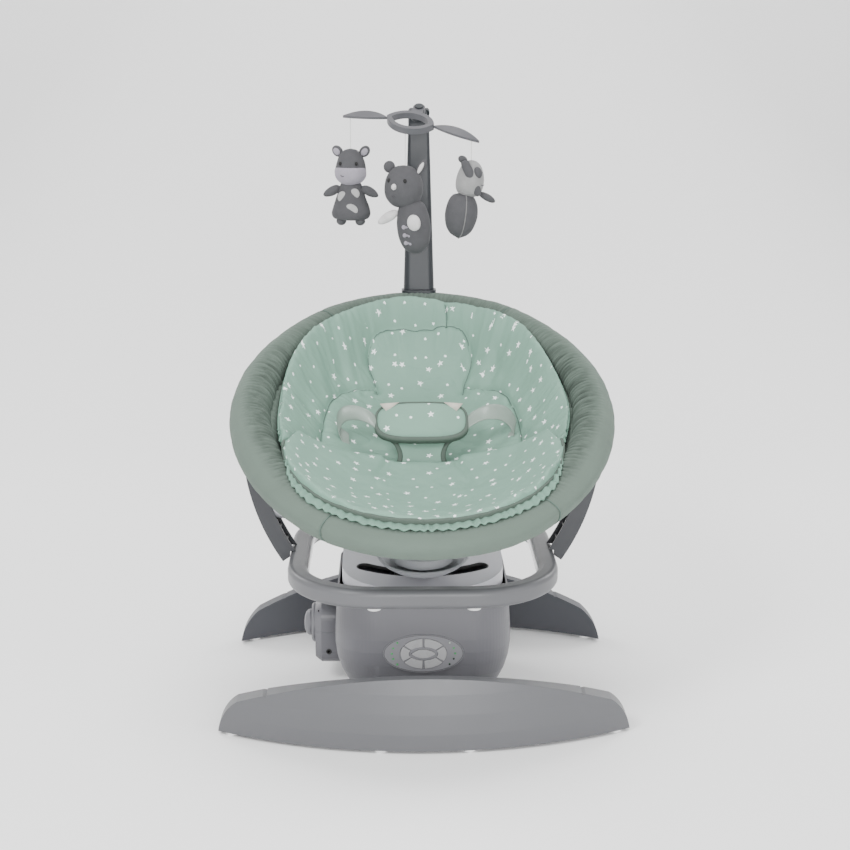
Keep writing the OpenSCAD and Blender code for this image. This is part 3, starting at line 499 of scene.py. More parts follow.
# Rim fabric with painted shade on the roll's inner side and in its folds.
GATHERED_PAINTED_SHADE = gathered_fabric_painted_shade("gathered_rim_fabric_painted_shade", COLOUR["rim_fabric"])
BINDING = fabric("binding_fabric", [c * 0.74 for c in COLOUR["rim_fabric"]], 0.0006, 0.1)
BACKING = fabric("backing_fabric", (0.50, 0.47, 0.41), 0.0006, 0.1)
THREAD = plain("thread", (0.085, 0.13, 0.11), 0.8)
LIGHT_PLUSH = plush("light_plush", (0.52, 0.51, 0.51))
MUZZLE_PLUSH = plush("muzzle_plush", (0.25, 0.235, 0.27))
SPOT_PLUSH = plush("spot_plush", (0.31, 0.31, 0.31))
HEAD_PLUSH = plush("head_plush", (0.22, 0.22, 0.22))
GREY_PLUSH = plush("grey_plush", (0.15, 0.15, 0.15))
DARK_PLUSH = plush("dark_plush", (0.06, 0.06, 0.065))
EYE = plain("eye", (0.004, 0.004, 0.004), 0.55)
STITCH = plain("stitch", (0.05, 0.05, 0.055), 0.8)
STRING = plain("string", (0.62, 0.61, 0.60), 0.8)
TAG = plain("tag", (0.72, 0.72, 0.70), 0.7)

for entry in record["subparts"]:
    cad = NODES[entry["node"]]
    cad.data.materials.clear()
    cad.data.materials.append(MATERIALS[entry["material_slot"]])

# ---------------------------------------------------------------- stage, light and camera

CAMERA_DISTANCE = 2.521
CAMERA_ELEVATION = math.radians(13.0)
CAMERA_AZIMUTH = math.radians(1.03)
CAMERA_TARGET = Vector((0.0047, 0.0, 0.4276))
SENSOR = 36.0
FOCAL_SHARE = 1.8918


def make_stage():
    """A pale floor that curves up into a backdrop."""
    profile = [(-4.0, 0.0), (1.6, 0.0)]
    bend = 1.2
    for k in range(1, 17):
        t = math.radians(90 * k / 16)
        profile.append((1.6 + bend * math.sin(t), bend - bend * math.cos(t)))
    profile.append((1.6 + bend, 4.0))
    vertices = [(x, y, z) for y, z in profile for x in (-5.0, 5.0)]
    faces = [(2 * k, 2 * k + 1, 2 * k + 3, 2 * k + 2) for k in range(len(profile) - 1)]
    stage = object_from("studio_floor", vertices, faces)
    material, tree, shader = start_material("studio_white", 0.9)
    shader.inputs["Base Color"].default_value = (0.93, 0.93, 0.93, 1)
    stage.data.materials.append(material)


def area_light(name, place_at, target, size, power, colour=(1, 1, 1)):
    data = bpy.data.lights.new(name, "AREA")
    data.shape = "DISK"
    data.size = size
    data.energy = power
    data.color = colour
    light = bpy.data.objects.new(name, data)
    bpy.context.scene.collection.objects.link(light)
    light.location = place_at
    light.rotation_euler = (Vector(target) - Vector(place_at)).to_track_quat("-Z", "Y").to_euler()
    return light


def make_lights():
    world = bpy.data.worlds.new("studio")
    bpy.context.scene.world = world
    world.use_nodes = True
    background = world.node_tree.nodes["Background"]
    background.inputs["Color"].default_value = (1, 1, 1, 1)
    background.inputs["Strength"].default_value = 0.84
    middle = (0, 0, 0.4)
    area_light("key", (-1.4, -1.7, 2.2), middle, 0.9, 62)
    area_light("front", (0.25, -3.0, 0.75), (0, 0, 0.25), 1.6, 76)
    area_light("fill", (1.9, -1.2, 1.5), middle, 1.6, 20)
    area_light("top", (0.1, 0.3, 2.9), middle, 1.6, 42)
    area_light("back_left", (-1.7, 1.7, 1.6), middle, 1.0, 24)
    area_light("back_right", (1.7, 1.7, 1.6), middle, 1.0, 24)


def make_camera():
    data = bpy.data.cameras.new("photo_camera")
    data.sensor_width = SENSOR
    data.lens = SENSOR * FOCAL_SHARE
    camera = bpy.data.objects.new("photo_camera", data)
    bpy.context.scene.collection.objects.link(camera)
    direction = Vector((
        math.cos(CAMERA_ELEVATION) * math.sin(CAMERA_AZIMUTH),
        math.cos(CAMERA_ELEVATION) * math.cos(CAMERA_AZIMUTH),
        -math.sin(CAMERA_ELEVATION),
    ))
    camera.location = CAMERA_TARGET - direction * CAMERA_DISTANCE
    camera.rotation_euler = direction.to_track_quat("-Z", "Y").to_euler()
    bpy.context.scene.camera = camera


make_stage()
make_lights()
make_camera()

# ---------------------------------------------------------------- the seat's oval

SIDE_X = ((OVAL_B - END_R) ** 2 - (OVAL_A - END_R) ** 2) / (2 * (OVAL_A - END_R))
SIDE_R = OVAL_A + SIDE_X
END_Y = OVAL_B - END_R
JOIN_ANGLE = math.atan2(END_Y, SIDE_X)
SIDE_LENGTH = SIDE_R * JOIN_ANGLE
QUARTER = SIDE_LENGTH + END_R * (math.pi / 2 - JOIN_ANGLE)


def oval_at(s):
    """Point and outward normal of the seat oval at distances s along it, from +X towards the rear."""
    s = np.mod(s, 4 * QUARTER)
    quarter = np.floor(s / QUARTER).astype(int)
    q = np.where(quarter % 2 == 0, s - quarter * QUARTER, (quarter + 1) * QUARTER - s)
    on_side = q < SIDE_LENGTH
    t = np.where(on_side, q / SIDE_R, JOIN_ANGLE + (q - SIDE_LENGTH) / END_R)
    x = np.where(on_side, SIDE_R * np.cos(t) - SIDE_X, END_R * np.cos(t))
    y = np.where(on_side, SIDE_R * np.sin(t), END_Y + END_R * np.sin(t))
    flip_x = np.where((quarter == 1) | (quarter == 2), -1, 1)
    flip_y = np.where(quarter >= 2, -1, 1)
    point = np.stack([x * flip_x, y * flip_y], -1)
    normal = np.stack([np.cos(t) * flip_x, np.sin(t) * flip_y], -1)
    return point, normal


def oval_distance_at(x, rear):
    """Distance along the oval of the point with this x, on its rear or its front half."""
    s = np.linspace(0, 4 * QUARTER, 4000)
    point, _ = oval_at(s)
    wrong_half = (point[:, 1] > 0) != rear
    return s[np.argmin(np.abs(point[:, 0] - x) + wrong_half * 10)]


def bowl(x, y):
    u = np.sqrt((x / SLING_A) ** 2 + ((y + BOWL_SHIFT) / (SLING_B + BOWL_SHIFT)) ** 2)
    return -BOWL_DEPTH * (1 - np.minimum(u, 1) ** BOWL_POWER)


def disc_grid(a, b_rear, b_front, n):
    """Square grid mapped onto an oval with its own rear and front half-lengths."""
    s, t = np.meshgrid(np.linspace(-1, 1, n), np.linspace(-1, 1, n), indexing="ij")
    x = s * np.sqrt(1 - t * t / 2)
    y = t * np.sqrt(1 - s * s / 2)
    return x * a, np.where(y > 0, y * b_rear, y * b_front), np.hypot(x, y)


PRESS = 0.58
GATHER_TURN = math.radians(30)


def make_rim():
    """Padded roll: sewn in four lengths, gathered by elastic on its inner side."""
    n, m = 960, 48
    s = np.linspace(0, 4 * QUARTER, n, endpoint=False)
    phi = np.linspace(0, TAU, m, endpoint=False)
    point, normal = oval_at(s)
    seams = [oval_distance_at(-0.157, True), oval_distance_at(0.148, True),
             oval_distance_at(-0.129, False), oval_distance_at(0.168, False)]
    near = np.full(n, 1.0)
    for seam in seams:
        gap = np.abs(s - seam)
        near = np.minimum(near, np.minimum(gap, 4 * QUARTER - gap))
    S, P = np.meshgrid(s, phi, indexing="ij")
    N = near[:, None] * np.ones_like(P)
    around = np.stack([np.cos(S / (4 * QUARTER) * TAU) * 3, np.sin(S / (4 * QUARTER) * TAU) * 3,
                       P / TAU * 0.6], -1)
    soft = noise_at(around, 2.6, 1)
    folds = noise_at(np.stack([np.cos(S / (4 * QUARTER) * TAU) * 9,
                               np.sin(S / (4 * QUARTER) * TAU) * 9, np.cos(P)], -1), 2.0, 2)
    inner = smoothstep(0.0, 0.75, -np.cos(P + GATHER_TURN))
    rear = smoothstep(0.1, 0.24, point[:, 1])[:, None]
    gather = inner * (1 - 0.45 * rear)
    wave = np.sin(S / 0.0085 * TAU + 2.2 * folds + 1.1 * soft)
    radius = RIM_R * (0.985 + 0.028 * soft)
    radius = radius + 0.0007 * folds * (1 - inner)
    radius = radius + gather * (0.0027 * wave + 0.0016 * folds - 0.0016)
    pucker = np.exp(-((N / 0.02) ** 2)) * np.sin(P * 14 + 3 * folds)
    radius = radius - 0.0028 * np.exp(-((N / 0.0022) ** 2)) + 0.0005 * pucker
    flat = point[:, None] + normal[:, None] * (radius * np.cos(P))[..., None]
    pressed = PRESS * smoothstep(0.09, 0.25, -point[:, 1])[:, None]
    z = radius * np.sin(P) * np.where(np.sin(P) > 0, 1 - pressed, 1.0)
    points = np.concatenate([flat, z[..., None]], -1)
    # The first flat coordinate marks the roll's inner side, less so at the rear; the rim's material paints
    # shade there.
    uvs = np.stack([-np.cos(P + GATHER_TURN) * (1 - 0.45 * rear), S], -1).reshape(-1, 2)
    roll = object_from("padded_rim", points.reshape(-1, 3), grid_faces(n, m, True, True), uvs)
    fix_normals(roll)
    place(roll, SEAT_MATRIX)
    finish_piece(roll, "seat", GATHERED_PAINTED_SHADE, ["rim_roll"])
    for k, seam in enumerate(seams):
        around_seam = np.linspace(math.radians(-150), math.radians(215), 60)
        p, d = oval_at(np.full(60, seam))
        r = RIM_R - 0.0012
        pressed = PRESS * smoothstep(0.09, 0.25, -p[:, 1])
        height = r * np.sin(around_seam) * np.where(np.sin(around_seam) > 0, 1 - pressed, 1.0)
        path = np.concatenate([p + d * (r * np.cos(around_seam))[:, None], height[:, None]], -1)
        outward = (*(-d[0][::-1] * (1, -1)), 0)
        cord = sweep(f"rim_seam_{k}", path, ring_section(0.0007, 6), up=outward)
        finish_piece(place(cord, SEAT_MATRIX), "seat", THREAD)


def make_sling():
    """Stretched seat shell under the liner, with small gathers below the rim."""
    n = 121
    x, y, rho = disc_grid(SLING_A + 0.015, SLING_B + 0.009, SLING_B + 0.009, n)
    angle = np.arctan2(y, x)
    gathers = 0.0014 * np.sin(angle * 92 + 2 * noise_at(np.stack([x, y], -1), 9, 4))
    z = bowl(x, y) + gathers * smoothstep(0.55, 0.95, rho)
    top = np.stack([x, y, z - 0.0005], -1)
    bottom = np.stack([x, y, z - 0.0032], -1)
    shell = closed_sheet("seat_shell_cloth", top, bottom, np.stack([x, y], -1))
    place(shell, SEAT_MATRIX)
    finish_piece(shell, "seat", MATERIALS["sling_fabric"], ["seat_sling"])


# ---------------------------------------------------------------- the liner


def quilting(x, y, seams, groove, puff, reach, wrinkle):
    """Height of quilted padding: sunk along its seams, puffed between, puckered beside them."""
    height = np.full(x.shape, puff)
    flat = np.stack([x, y], -1).reshape(-1, 2)
    for k, seam in enumerate(seams):
        line = smooth_path([(px, py, 0) for px, py in seam], 160)[:, :2]
        gap = np.full(len(flat), 9.0)
        place_on = np.zeros(len(flat))
        length = np.concatenate([[0], np.cumsum(np.linalg.norm(np.diff(line, axis=0), axis=1))])
        for i in range(0, len(flat), 20000):
            d = np.linalg.norm(flat[i : i + 20000, None] - line[None], axis=2)
            gap[i : i + 20000] = d.min(1)
            place_on[i : i + 20000] = length[d.argmin(1)]
        gap = gap.reshape(x.shape)
        along = place_on.reshape(x.shape)
        height = np.minimum(height, puff * (1 - np.exp(-gap / reach)))
        ripple = noise_at(np.stack([along * 1.0, gap * 0.25], -1), 75, 11 + k)
        ripple = ripple + 0.5 * np.sin(along / 0.021 * TAU + 5 * ripple)
        height = height + wrinkle * ripple * np.exp(-gap / 0.022) * (1 - np.exp(-gap / 0.003))
        height = height - groove * np.exp(-((gap / 0.0018) ** 2))
    return height


def mirrored(points):
    return points + [(-x, y) for x, y in reversed(points)]


def side_folds(x, y):
    """Long creases of loose cover, from beside the quilted arches out to the edge."""
    dice = random.Random(5)
    height = np.zeros(x.shape)
    for side in (-1, 1):
        for k in range(8):
            start_x = side * dice.uniform(0.090, 0.150)
            start = np.array([start_x, 0.235 - 0.034 * k + dice.uniform(-0.008, 0.008)])
            end = np.array([side * 0.222, start[1] + dice.uniform(-0.012, 0.030)])
            if start[1] < 0.175:
                start[0] = side * dice.uniform(0.160, 0.175)
            line = end - start
            length = np.linalg.norm(line)
            ahead, across = line / length, np.array([-line[1], line[0]]) / length
            along = ((x - start[0]) * ahead[0] + (y - start[1]) * ahead[1]) / length
            off = (x - start[0]) * across[0] + (y - start[1]) * across[1]
            off = off + 0.004 * np.sin(along * 5 + k)
            width = 0.0045 + 0.0035 * np.clip(along, 0, 1)
            taper = smoothstep(-0.05, 0.25, along) * (1 - 0.4 * smoothstep(0.8, 1.1, along))
            ridge = dice.uniform(0.0028, 0.0052) * (off / width) * np.exp(-((off / width) ** 2))
            height = height + ridge * taper
    return height


HEADREST_ARCH = mirrored([(-0.072, 0.180), (-0.076, 0.199), (-0.086, 0.222), (-0.087, 0.240),
                          (-0.074, 0.264), (-0.045, 0.278), (-0.012, 0.281)])
BODY_ARCH_LEFT = [(-0.158, -0.010), (-0.161, 0.030), (-0.158, 0.075), (-0.150, 0.118),
                  (-0.136, 0.148), (-0.117, 0.168), (-0.094, 0.180), (-0.076, 0.190)]
BODY_ARCH_RIGHT = [(-px, py) for px, py in BODY_ARCH_LEFT]
SHORT_SEAM = [(0.046, 0.277), (0.047, 0.288), (0.044, 0.300)]


def liner_edge(angle):
    """Half-lengths of the liner's outline in a direction: fuller at the rear, a little uneven."""
    uneven = 0.0022 * np.sin(3 * angle + 0.6) + 0.0016 * np.sin(7 * angle + 2.0)
    a = 0.2255 + uneven
    b = np.where(np.sin(angle) > 0, 0.3130, 0.3000) + uneven
    return a, b


def make_liner_back():
    n = 281
    s, t = np.meshgrid(np.linspace(-1, 1, n), np.linspace(-1, 1, n), indexing="ij")
    px, py = s * np.sqrt(1 - t * t / 2), t * np.sqrt(1 - s * s / 2)
    rho = np.hypot(px, py)
    angle = np.arctan2(py, px)
    a, b = liner_edge(angle)
    x, y = px * a, py * b
    at = np.stack([x, y], -1)
    seams = [HEADREST_ARCH, BODY_ARCH_LEFT, BODY_ARCH_RIGHT, SHORT_SEAM]
    pad = quilting(x, y, seams, 0.0034, 0.0130, 0.012, 0.0022)
    border = smoothstep(0.62, 0.86, rho) * (1 - smoothstep(0.97, 1.0, rho))
    swirl = noise_at(at, 11, 6)
    flutes = np.sin(angle * 15 + 3.5 * swirl) + 0.5 * np.sin(angle * 37 + 4 * swirl)
    sideways = np.abs(np.cos(angle)) ** 0.7
    pad = pad + 0.0042 * flutes * border * (0.08 + 0.92 * sideways)
    outer_pleats = smoothstep(0.78, 0.99, rho) * np.sin(angle * 110 + 4 * swirl)
    pad = pad + 0.0011 * outer_pleats * sideways
    pad = pad + side_folds(x, y)
    creases = np.abs(noise_at(np.stack([x * 14, y * 42], -1), 1.0, 9))
    pad = pad - 0.0024 * np.exp(-creases / 0.07) * (1 - 0.4 * border)
    pad = pad + 0.0020 * noise_at(at, 24, 7) + 0.0011 * noise_at(at, 70, 8)
    edge_round = np.sqrt(np.clip(1 - np.clip((rho - 0.955) / 0.045, 0, 1) ** 2, 0, 1))
    lift = (0.026 * smoothstep(0.02, 0.24, y) + 0.008) * smoothstep(0.80, 1.0, rho)
    base = bowl(x, y) + lift
    top = base + 0.0022 + (pad + 0.002) * (0.25 + 0.75 * edge_round)
    bottom = base + 0.0008
    points = np.stack([x, y, top], -1)
    under = np.stack([x, y, bottom], -1)
    liner = closed_sheet("liner_back_quilt", points, under, metric_uv(points))
    place(liner, SEAT_MATRIX)
    finish_piece(liner, "seat", MATERIALS["liner_fabric"], ["liner_back"])
    ring = np.concatenate([points[:, 0], points[-1, 1:], points[-2::-1, -1], points[0, -2:0:-1]])
    ring[:, 2] -= 0.0028
    piping = sweep("liner_piping", ring, ring_section(0.0021, 8), closed=True)
    finish_piece(place(piping, SEAT_MATRIX), "seat", PIPING)
    for k, seam in enumerate(seams):
        line = smooth_path([(qx, qy, 0) for qx, qy in seam], 240)
        line[:, 2] = surface_height(points, line[:, :2]) + 0.0006
        thread = sweep(f"liner_seam_{k}", line, ring_section(0.0008, 6))
        finish_piece(place(thread, SEAT_MATRIX), "seat", THREAD)
    return points


def metric_uv(points):
    """Flattens a grid so that lengths along both directions from its middle are kept."""
    rows, cols = points.shape[:2]
    i0, j0 = rows // 2, cols // 2
    du = np.linalg.norm(np.diff(points, axis=0), axis=2)
    dv = np.linalg.norm(np.diff(points, axis=1), axis=2)
    u = np.concatenate([np.zeros((1, cols)), np.cumsum(du, 0)])
    v = np.concatenate([np.zeros((rows, 1)), np.cumsum(dv, 1)], 1)
    return np.stack([u - u[i0 : i0 + 1], v - v[:, j0 : j0 + 1]], -1)


def surface_height(points, places):
    flat = points.reshape(-1, 3)
    out = np.empty(len(places))
    for k, p in enumerate(places):
        d = np.sum((flat[:, :2] - p) ** 2, axis=1)
        near = np.argpartition(d, 4)[:4]
        out[k] = np.average(flat[near, 2], weights=1 / (d[near] + 1e-9))
    return out


def moon_edges(x):
    """Rear and front edge of the half-moon pad at a place across it."""
    across = np.abs(x)
    rear = 0.012 - 0.046 * (across / 0.19) ** 2 - 0.060 * smoothstep(0.188, 0.209, across)
    rear = rear - 0.020 * (1 - smoothstep(0.040, 0.066, across))
    front = -0.100 - 0.235 * np.sqrt(np.clip(1 - (x / 0.2105) ** 2, 0, 1)) ** 0.92
    return rear, front


def make_liner_front():
    n, m = 241, 161
    s = np.linspace(-1, 1, n)
    x1 = 0.209 * np.sin(s * math.pi / 2 * 0.96) / math.sin(math.pi / 2 * 0.96)
    rear, front = moon_edges(x1)
    t = np.linspace(0, 1, m)
    x = x1[:, None] * np.ones(m)
    y = front[:, None] + (rear - front)[:, None] * t
    to_front = (y - front[:, None])
    to_rear = (rear[:, None] - y)
    to_side = 0.2105 - np.abs(x)
    edge = np.minimum(np.minimum(to_front, to_rear), to_side * 1.2)
    at = np.stack([x, y], -1)
    full = np.sqrt(np.clip(1 - (1 - np.clip(edge / 0.020, 0, 1)) ** 2, 0, 1))
    swirl = noise_at(at, 12, 21)
    pad = 0.0165 * (0.22 + 0.78 * full)
    angle = np.arctan2(y + 0.06, x)
    short = np.exp(-to_front / 0.020) * np.sin(angle * 60 + 5 * swirl) * 0.0020
    long = np.exp(-to_front / 0.080) * np.maximum(np.sin(angle * 17 + 4 * swirl), 0) * 0.0040
    off = (np.abs(x) - 0.054 - 0.15 * to_rear + 0.003 * np.sin(to_rear * 60)) / 0.006
    notch = (np.exp(-off**2) + 0.6 * off * np.exp(-off**2)) * np.exp(-to_rear / 0.075)
    pad = pad + (short + long) * full - 0.0068 * notch
    pad = pad + full * (0.0040 * noise_at(at, 20, 22) + 0.0012 * noise_at(at, 65, 23))
    dip = bowl(x, y)
    base = dip + 0.0165 + 0.007 * smoothstep(0.0, 0.13, to_front)
    share = np.clip(to_front / np.maximum((rear - front)[:, None], 0.02), 0, 1)
    lip = 0.0160 - 0.006 * (x1 / 0.21) ** 2
    rise = (lip - (bowl(x1, front) + 0.0165))[:, None]
    base = base + rise * (1 - share) ** 2.2
    top = np.stack([x, y, base + pad], -1)
    bottom = np.stack([x, y, base - 0.0005], -1)
    moon = closed_sheet("liner_front_pad", top, bottom, metric_uv(top))
    place(moon, SEAT_MATRIX)
    finish_piece(moon, "seat", MATERIALS["liner_fabric"], ["liner_front"])
    border = np.concatenate([top[0, ::-1], top[1:, 0], top[-1, 1:]])
    border[:, 2] -= 0.0020
    wobble = noise_at(np.column_stack([border[:, :2]]), 60, 24)
    border[:, 2] += 0.0006 * wobble
    binding = sweep("front_pad_binding", border, rounded_bar_section(0.0046, 0.0105, 0.0021),
                    scale=1 + 0.10 * wobble)
    finish_piece(place(binding, SEAT_MATRIX), "seat", BINDING)
    rear_edge = top[1:-1, -1].copy()
    rear_edge[:, 2] -= 0.0012
    piping = sweep("front_pad_piping", rear_edge, ring_section(0.0013, 8))
    finish_piece(place(piping, SEAT_MATRIX), "seat", PIPING)
    join = [border[len(border) // 2 + 14] + np.array([0, -0.001, dz]) for dz in (0.006, 0.0, -0.006)]
    stitch = sweep("binding_join", smooth_path(join, 8), ring_section(0.0009, 6), up=(0, 1, 0))
    finish_piece(place(stitch, SEAT_MATRIX), "seat", THREAD)


def roll_top(x, y):
    """Height of the pressed roll's upper surface, or far below where there is no roll."""
    line, _ = oval_at(np.linspace(0, 4 * QUARTER, 1200, endpoint=False))
    flat = np.stack([x, y], -1).reshape(-1, 2)
    away = np.concatenate([np.linalg.norm(part[:, None] - line[None], axis=2).min(1)
                           for part in np.array_split(flat, 12)]).reshape(x.shape)
    pressed = PRESS * smoothstep(0.09, 0.25, -y)
    height = np.sqrt(np.clip(RIM_R**2 - away**2, 0, None)) * (1 - pressed)
    return np.where(away < RIM_R, height, -1.0)


def make_ruffle():
    """Gathered skirt of the liner, showing between the front pad and the rim."""
    n, rows = 900, 14
    angle = np.linspace(math.radians(-168), math.radians(-12), n)
    t = np.linspace(0, 1, rows)
    over = smoothstep(0.35, 0.85, -np.sin(angle))[:, None]
    swirl = noise_at(np.column_stack([np.cos(angle), np.sin(angle)]) * 8, 1.7, 31)
    wave = np.sin(angle * 120 + 2.5 * swirl) + 0.5 * np.sin(angle * 67 + 4 * swirl)
    inset = 0.036 - (0.030 + 0.048 * over) * t[None] ** 0.8
    a = SLING_A - inset
    b = SLING_B - inset
    amount = (0.0030 - 0.0018 * over) * t[None] ** 0.7
    x = (a - 0.5 * amount * wave[:, None]) * np.cos(angle)[:, None]
    y = (b - 0.5 * amount * wave[:, None]) * np.sin(angle)[:, None]
    z = bowl(x, y) + 0.011 + 0.006 * t[None]
    z = np.maximum(z, roll_top(x, y) + 0.0022) + amount * wave[:, None]
    top = np.stack([x, y, z], -1)
    bottom = top - np.array([0, 0, 0.0016])
    uv = np.stack([angle[:, None] * 0.3 * np.ones(rows), t[None] * 0.04 * np.ones((n, 1))], -1)
    ruffle = closed_sheet("liner_ruffle", top, bottom, uv)
    place(ruffle, SEAT_MATRIX)
    finish_piece(ruffle, "seat", RUFFLE)


PIPING = fabric("piping_fabric", [min(1, c * 1.2) for c in COLOUR["liner_fabric"]], 0.0006, 0.1)
RUFFLE = fabric("ruffle_fabric", [c * 0.92 for c in COLOUR["liner_fabric"]], 0.0006, 0.08)


# ---------------------------------------------------------------- crotch pad and harness

PAD_MATRIX = SEAT_MATRIX @ Matrix.Translation((0, 0.008, -0.068)) @ Matrix.Rotation(
    math.radians(34), 4, "X"
)


def stadium(half_w, half_h, n, centre_y):
    """Outline of a rounded pad, as angles and points, with straight top and bottom."""
    t = np.linspace(0, TAU, n, endpoint=False)
    power = 0.62
    x = half_w * np.sign(np.cos(t)) * np.abs(np.cos(t)) ** power
    y = centre_y + half_h * np.sign(np.sin(t)) * np.abs(np.sin(t)) ** power
    return x, y


def make_crotch_pad():
    n, rows = 160, 26
    x0, y0 = stadium(0.0725, 0.0325, n, 0.038)
    t = np.linspace(0, 1, rows)
    x = x0[:, None] * t
    y = 0.038 + (y0 - 0.038)[:, None] * t
    at = np.stack([x, y], -1)
    swirl = noise_at(at, 30, 41)
    full = np.sqrt(np.clip(1 - t**4, 0, 1))[None]
    rays = np.sin(np.arctan2(y - 0.038, x) * 13 + 3 * swirl) * 0.0007 * t[None] ** 3
    z = 0.0045 + 0.0105 * full + full * (rays + 0.0009 * swirl)
    top = np.stack([x, y, z], -1)
    bottom = np.stack([x, y, np.full(x.shape, 0.0006)], -1)
    vertices = np.concatenate([top.reshape(-1, 3), bottom.reshape(-1, 3)])
    faces = grid_faces(n, rows, wrap_rows=True) + grid_faces(n, rows, wrap_rows=True, start=n * rows)
    for k in range(n):
        a, b = k * rows + rows - 1, (k + 1) % n * rows + rows - 1
        faces.append((a, b, b + n * rows, a + n * rows))
    uv = np.stack([x, y], -1).reshape(-1, 2) + 0.031
    pad = object_from("crotch_pad_quilt", vertices, faces, np.concatenate([uv, uv]))
    weld(pad)
    place(pad, PAD_MATRIX)
    finish_piece(pad, "seat", MATERIALS["liner_fabric"], ["crotch_pad"])
    edge = np.stack([x0, y0, np.full(n, 0.0052)], -1)
    low = np.clip((0.038 - y0) / 0.0325, 0, 1)
    size = 0.55 + 0.75 * smoothstep(-0.2, 0.7, low)
    binding = sweep("crotch_pad_binding", edge, rounded_bar_section(0.0065, 0.0115, 0.003),
                    closed=True, scale=size)
    finish_piece(place(binding, PAD_MATRIX), "seat", BINDING)
    for s in (-1, 1):
        corner = [(s * 0.036, 0.0690), (s * 0.0665, 0.0665), (s * 0.0560, 0.0530)]
        flap = object_from(f"crotch_pad_lining_{'left' if s < 0 else 'right'}",
                           [(px, py, h) for h in (0.0118, 0.0128) for px, py in corner],
                           [(0, 1, 2), (3, 5, 4), (0, 3, 4, 1), (1, 4, 5, 2), (2, 5, 3, 0)],
                           [(px, py) for px, py in corner * 2])
        fix_normals(flap)
        finish_piece(place(flap, PAD_MATRIX), "seat", BACKING)


def weld(obj):
    work = bmesh.new()
    work.from_mesh(obj.data)
    bmesh.ops.remove_doubles(work, verts=work.verts, dist=1e-6)
    bmesh.ops.recalc_face_normals(work, faces=work.faces)
    work.to_mesh(obj.data)
    work.free()


def make_stem():
    """Waisted strap of the T between the pad and the half-moon, bound along both sides."""
    n, m = 60, 41
    t = np.linspace(0, 1, n)
    spine = smooth_path([(0, -0.020, -0.1015), (0, -0.006, -0.0965), (0, 0.006, -0.0830),
                         (0, 0.018, -0.0660), (0, 0.036, -0.0500)], n)
    half = 0.0470 - 0.0130 * np.sin(np.clip(t / 0.75, 0, 1) * math.pi) + 0.020 * smoothstep(0.6, 1, t)
    s = np.linspace(-1, 1, m)
    x = half[:, None] * s
    y = spine[:, 1][:, None] * np.ones(m)
    sag = -0.004 * (1 - np.abs(s[None]) ** 2) * np.sin(t * math.pi)[:, None]
    ripples = 0.0009 * noise_at(np.stack([x, y], -1), 55, 43)
    z = spine[:, 2][:, None] + sag + ripples
    top = np.stack([x, y, z], -1)
    bottom = top + np.array([0, 0.0045, -0.0030])
    stem = closed_sheet("crotch_stem", top, bottom, np.stack([x + 0.1, t[:, None] * 0.11 + 0 * x], -1))
    finish_piece(place(stem, SEAT_MATRIX), "seat", MATERIALS["liner_fabric"])
    for side, column in (("left", 0), ("right", -1)):
        edge = top[:, column] + np.array([0, 0.0015, -0.001])
        bind = sweep(f"stem_binding_{side}", edge, rounded_bar_section(0.0085, 0.0065, 0.003))
        finish_piece(place(bind, SEAT_MATRIX), "seat", BINDING)


def ribbon(name, spine, width_axes, width, thickness, slack=0.0):
    """Flat webbing along a spine, with its own width direction at each point."""
    n, m = len(spine), 9
    axes = width_axes / np.linalg.norm(width_axes, axis=1)[:, None]
    tangent = np.gradient(spine, axis=0)
    face = np.cross(tangent, axes)
    face /= np.linalg.norm(face, axis=1)[:, None]
    s = np.linspace(-0.5, 0.5, m)
    curl = slack * (s[None] ** 2 - 0.08)
    mid = spine[:, None] + axes[:, None] * (s * width)[None, :, None] + face[:, None] * curl[..., None]
    top = mid + face[:, None] * thickness / 2
    bottom = mid - face[:, None] * thickness / 2
    along = np.concatenate([[0], np.cumsum(np.linalg.norm(np.diff(spine, axis=0), axis=1))])
    uv = np.stack([s[None] * width * np.ones((n, 1)), along[:, None] * np.ones(m)], -1)
    return closed_sheet(name, top, bottom, uv)


def make_straps():
    """Webbing loop on each side of the crotch pad."""
    shapes = {
        "strap_left": [(-0.064, 0.030, -0.0500), (-0.080, 0.036, -0.0360), (-0.102, 0.044, -0.0300),
                       (-0.124, 0.052, -0.0370), (-0.134, 0.052, -0.0530), (-0.131, 0.046, -0.0680),
                       (-0.116, 0.040, -0.0800)],
        "strap_right": [(0.066, 0.030, -0.0500), (0.084, 0.036, -0.0350), (0.108, 0.042, -0.0280),
                        (0.132, 0.046, -0.0340), (0.147, 0.044, -0.0500), (0.149, 0.038, -0.0640),
                        (0.138, 0.032, -0.0780)],
    }
    for name, points in shapes.items():
        spine = smooth_path(points, 90)
        t = np.linspace(0, 1, 90)[:, None]
        lean = 0.35 * np.sin(t * 2.2 + 0.4)
        side = -1 if name == "strap_left" else 1
        axes = np.concatenate([side * lean * 0.5, 0.85 - 0.25 * t, 0.42 + 0.35 * np.sin(t * 3)], 1)
        band = ribbon(f"webbing_{name}", spine, axes, 0.025, 0.0015, 0.004)
        place(band, SEAT_MATRIX)
        finish_piece(band, "seat", MATERIALS["webbing"], [name])


make_rim()
make_sling()
make_liner_back()
make_liner_front()
make_ruffle()
make_crotch_pad()
make_stem()
make_straps()

# ---------------------------------------------------------------- plush toys


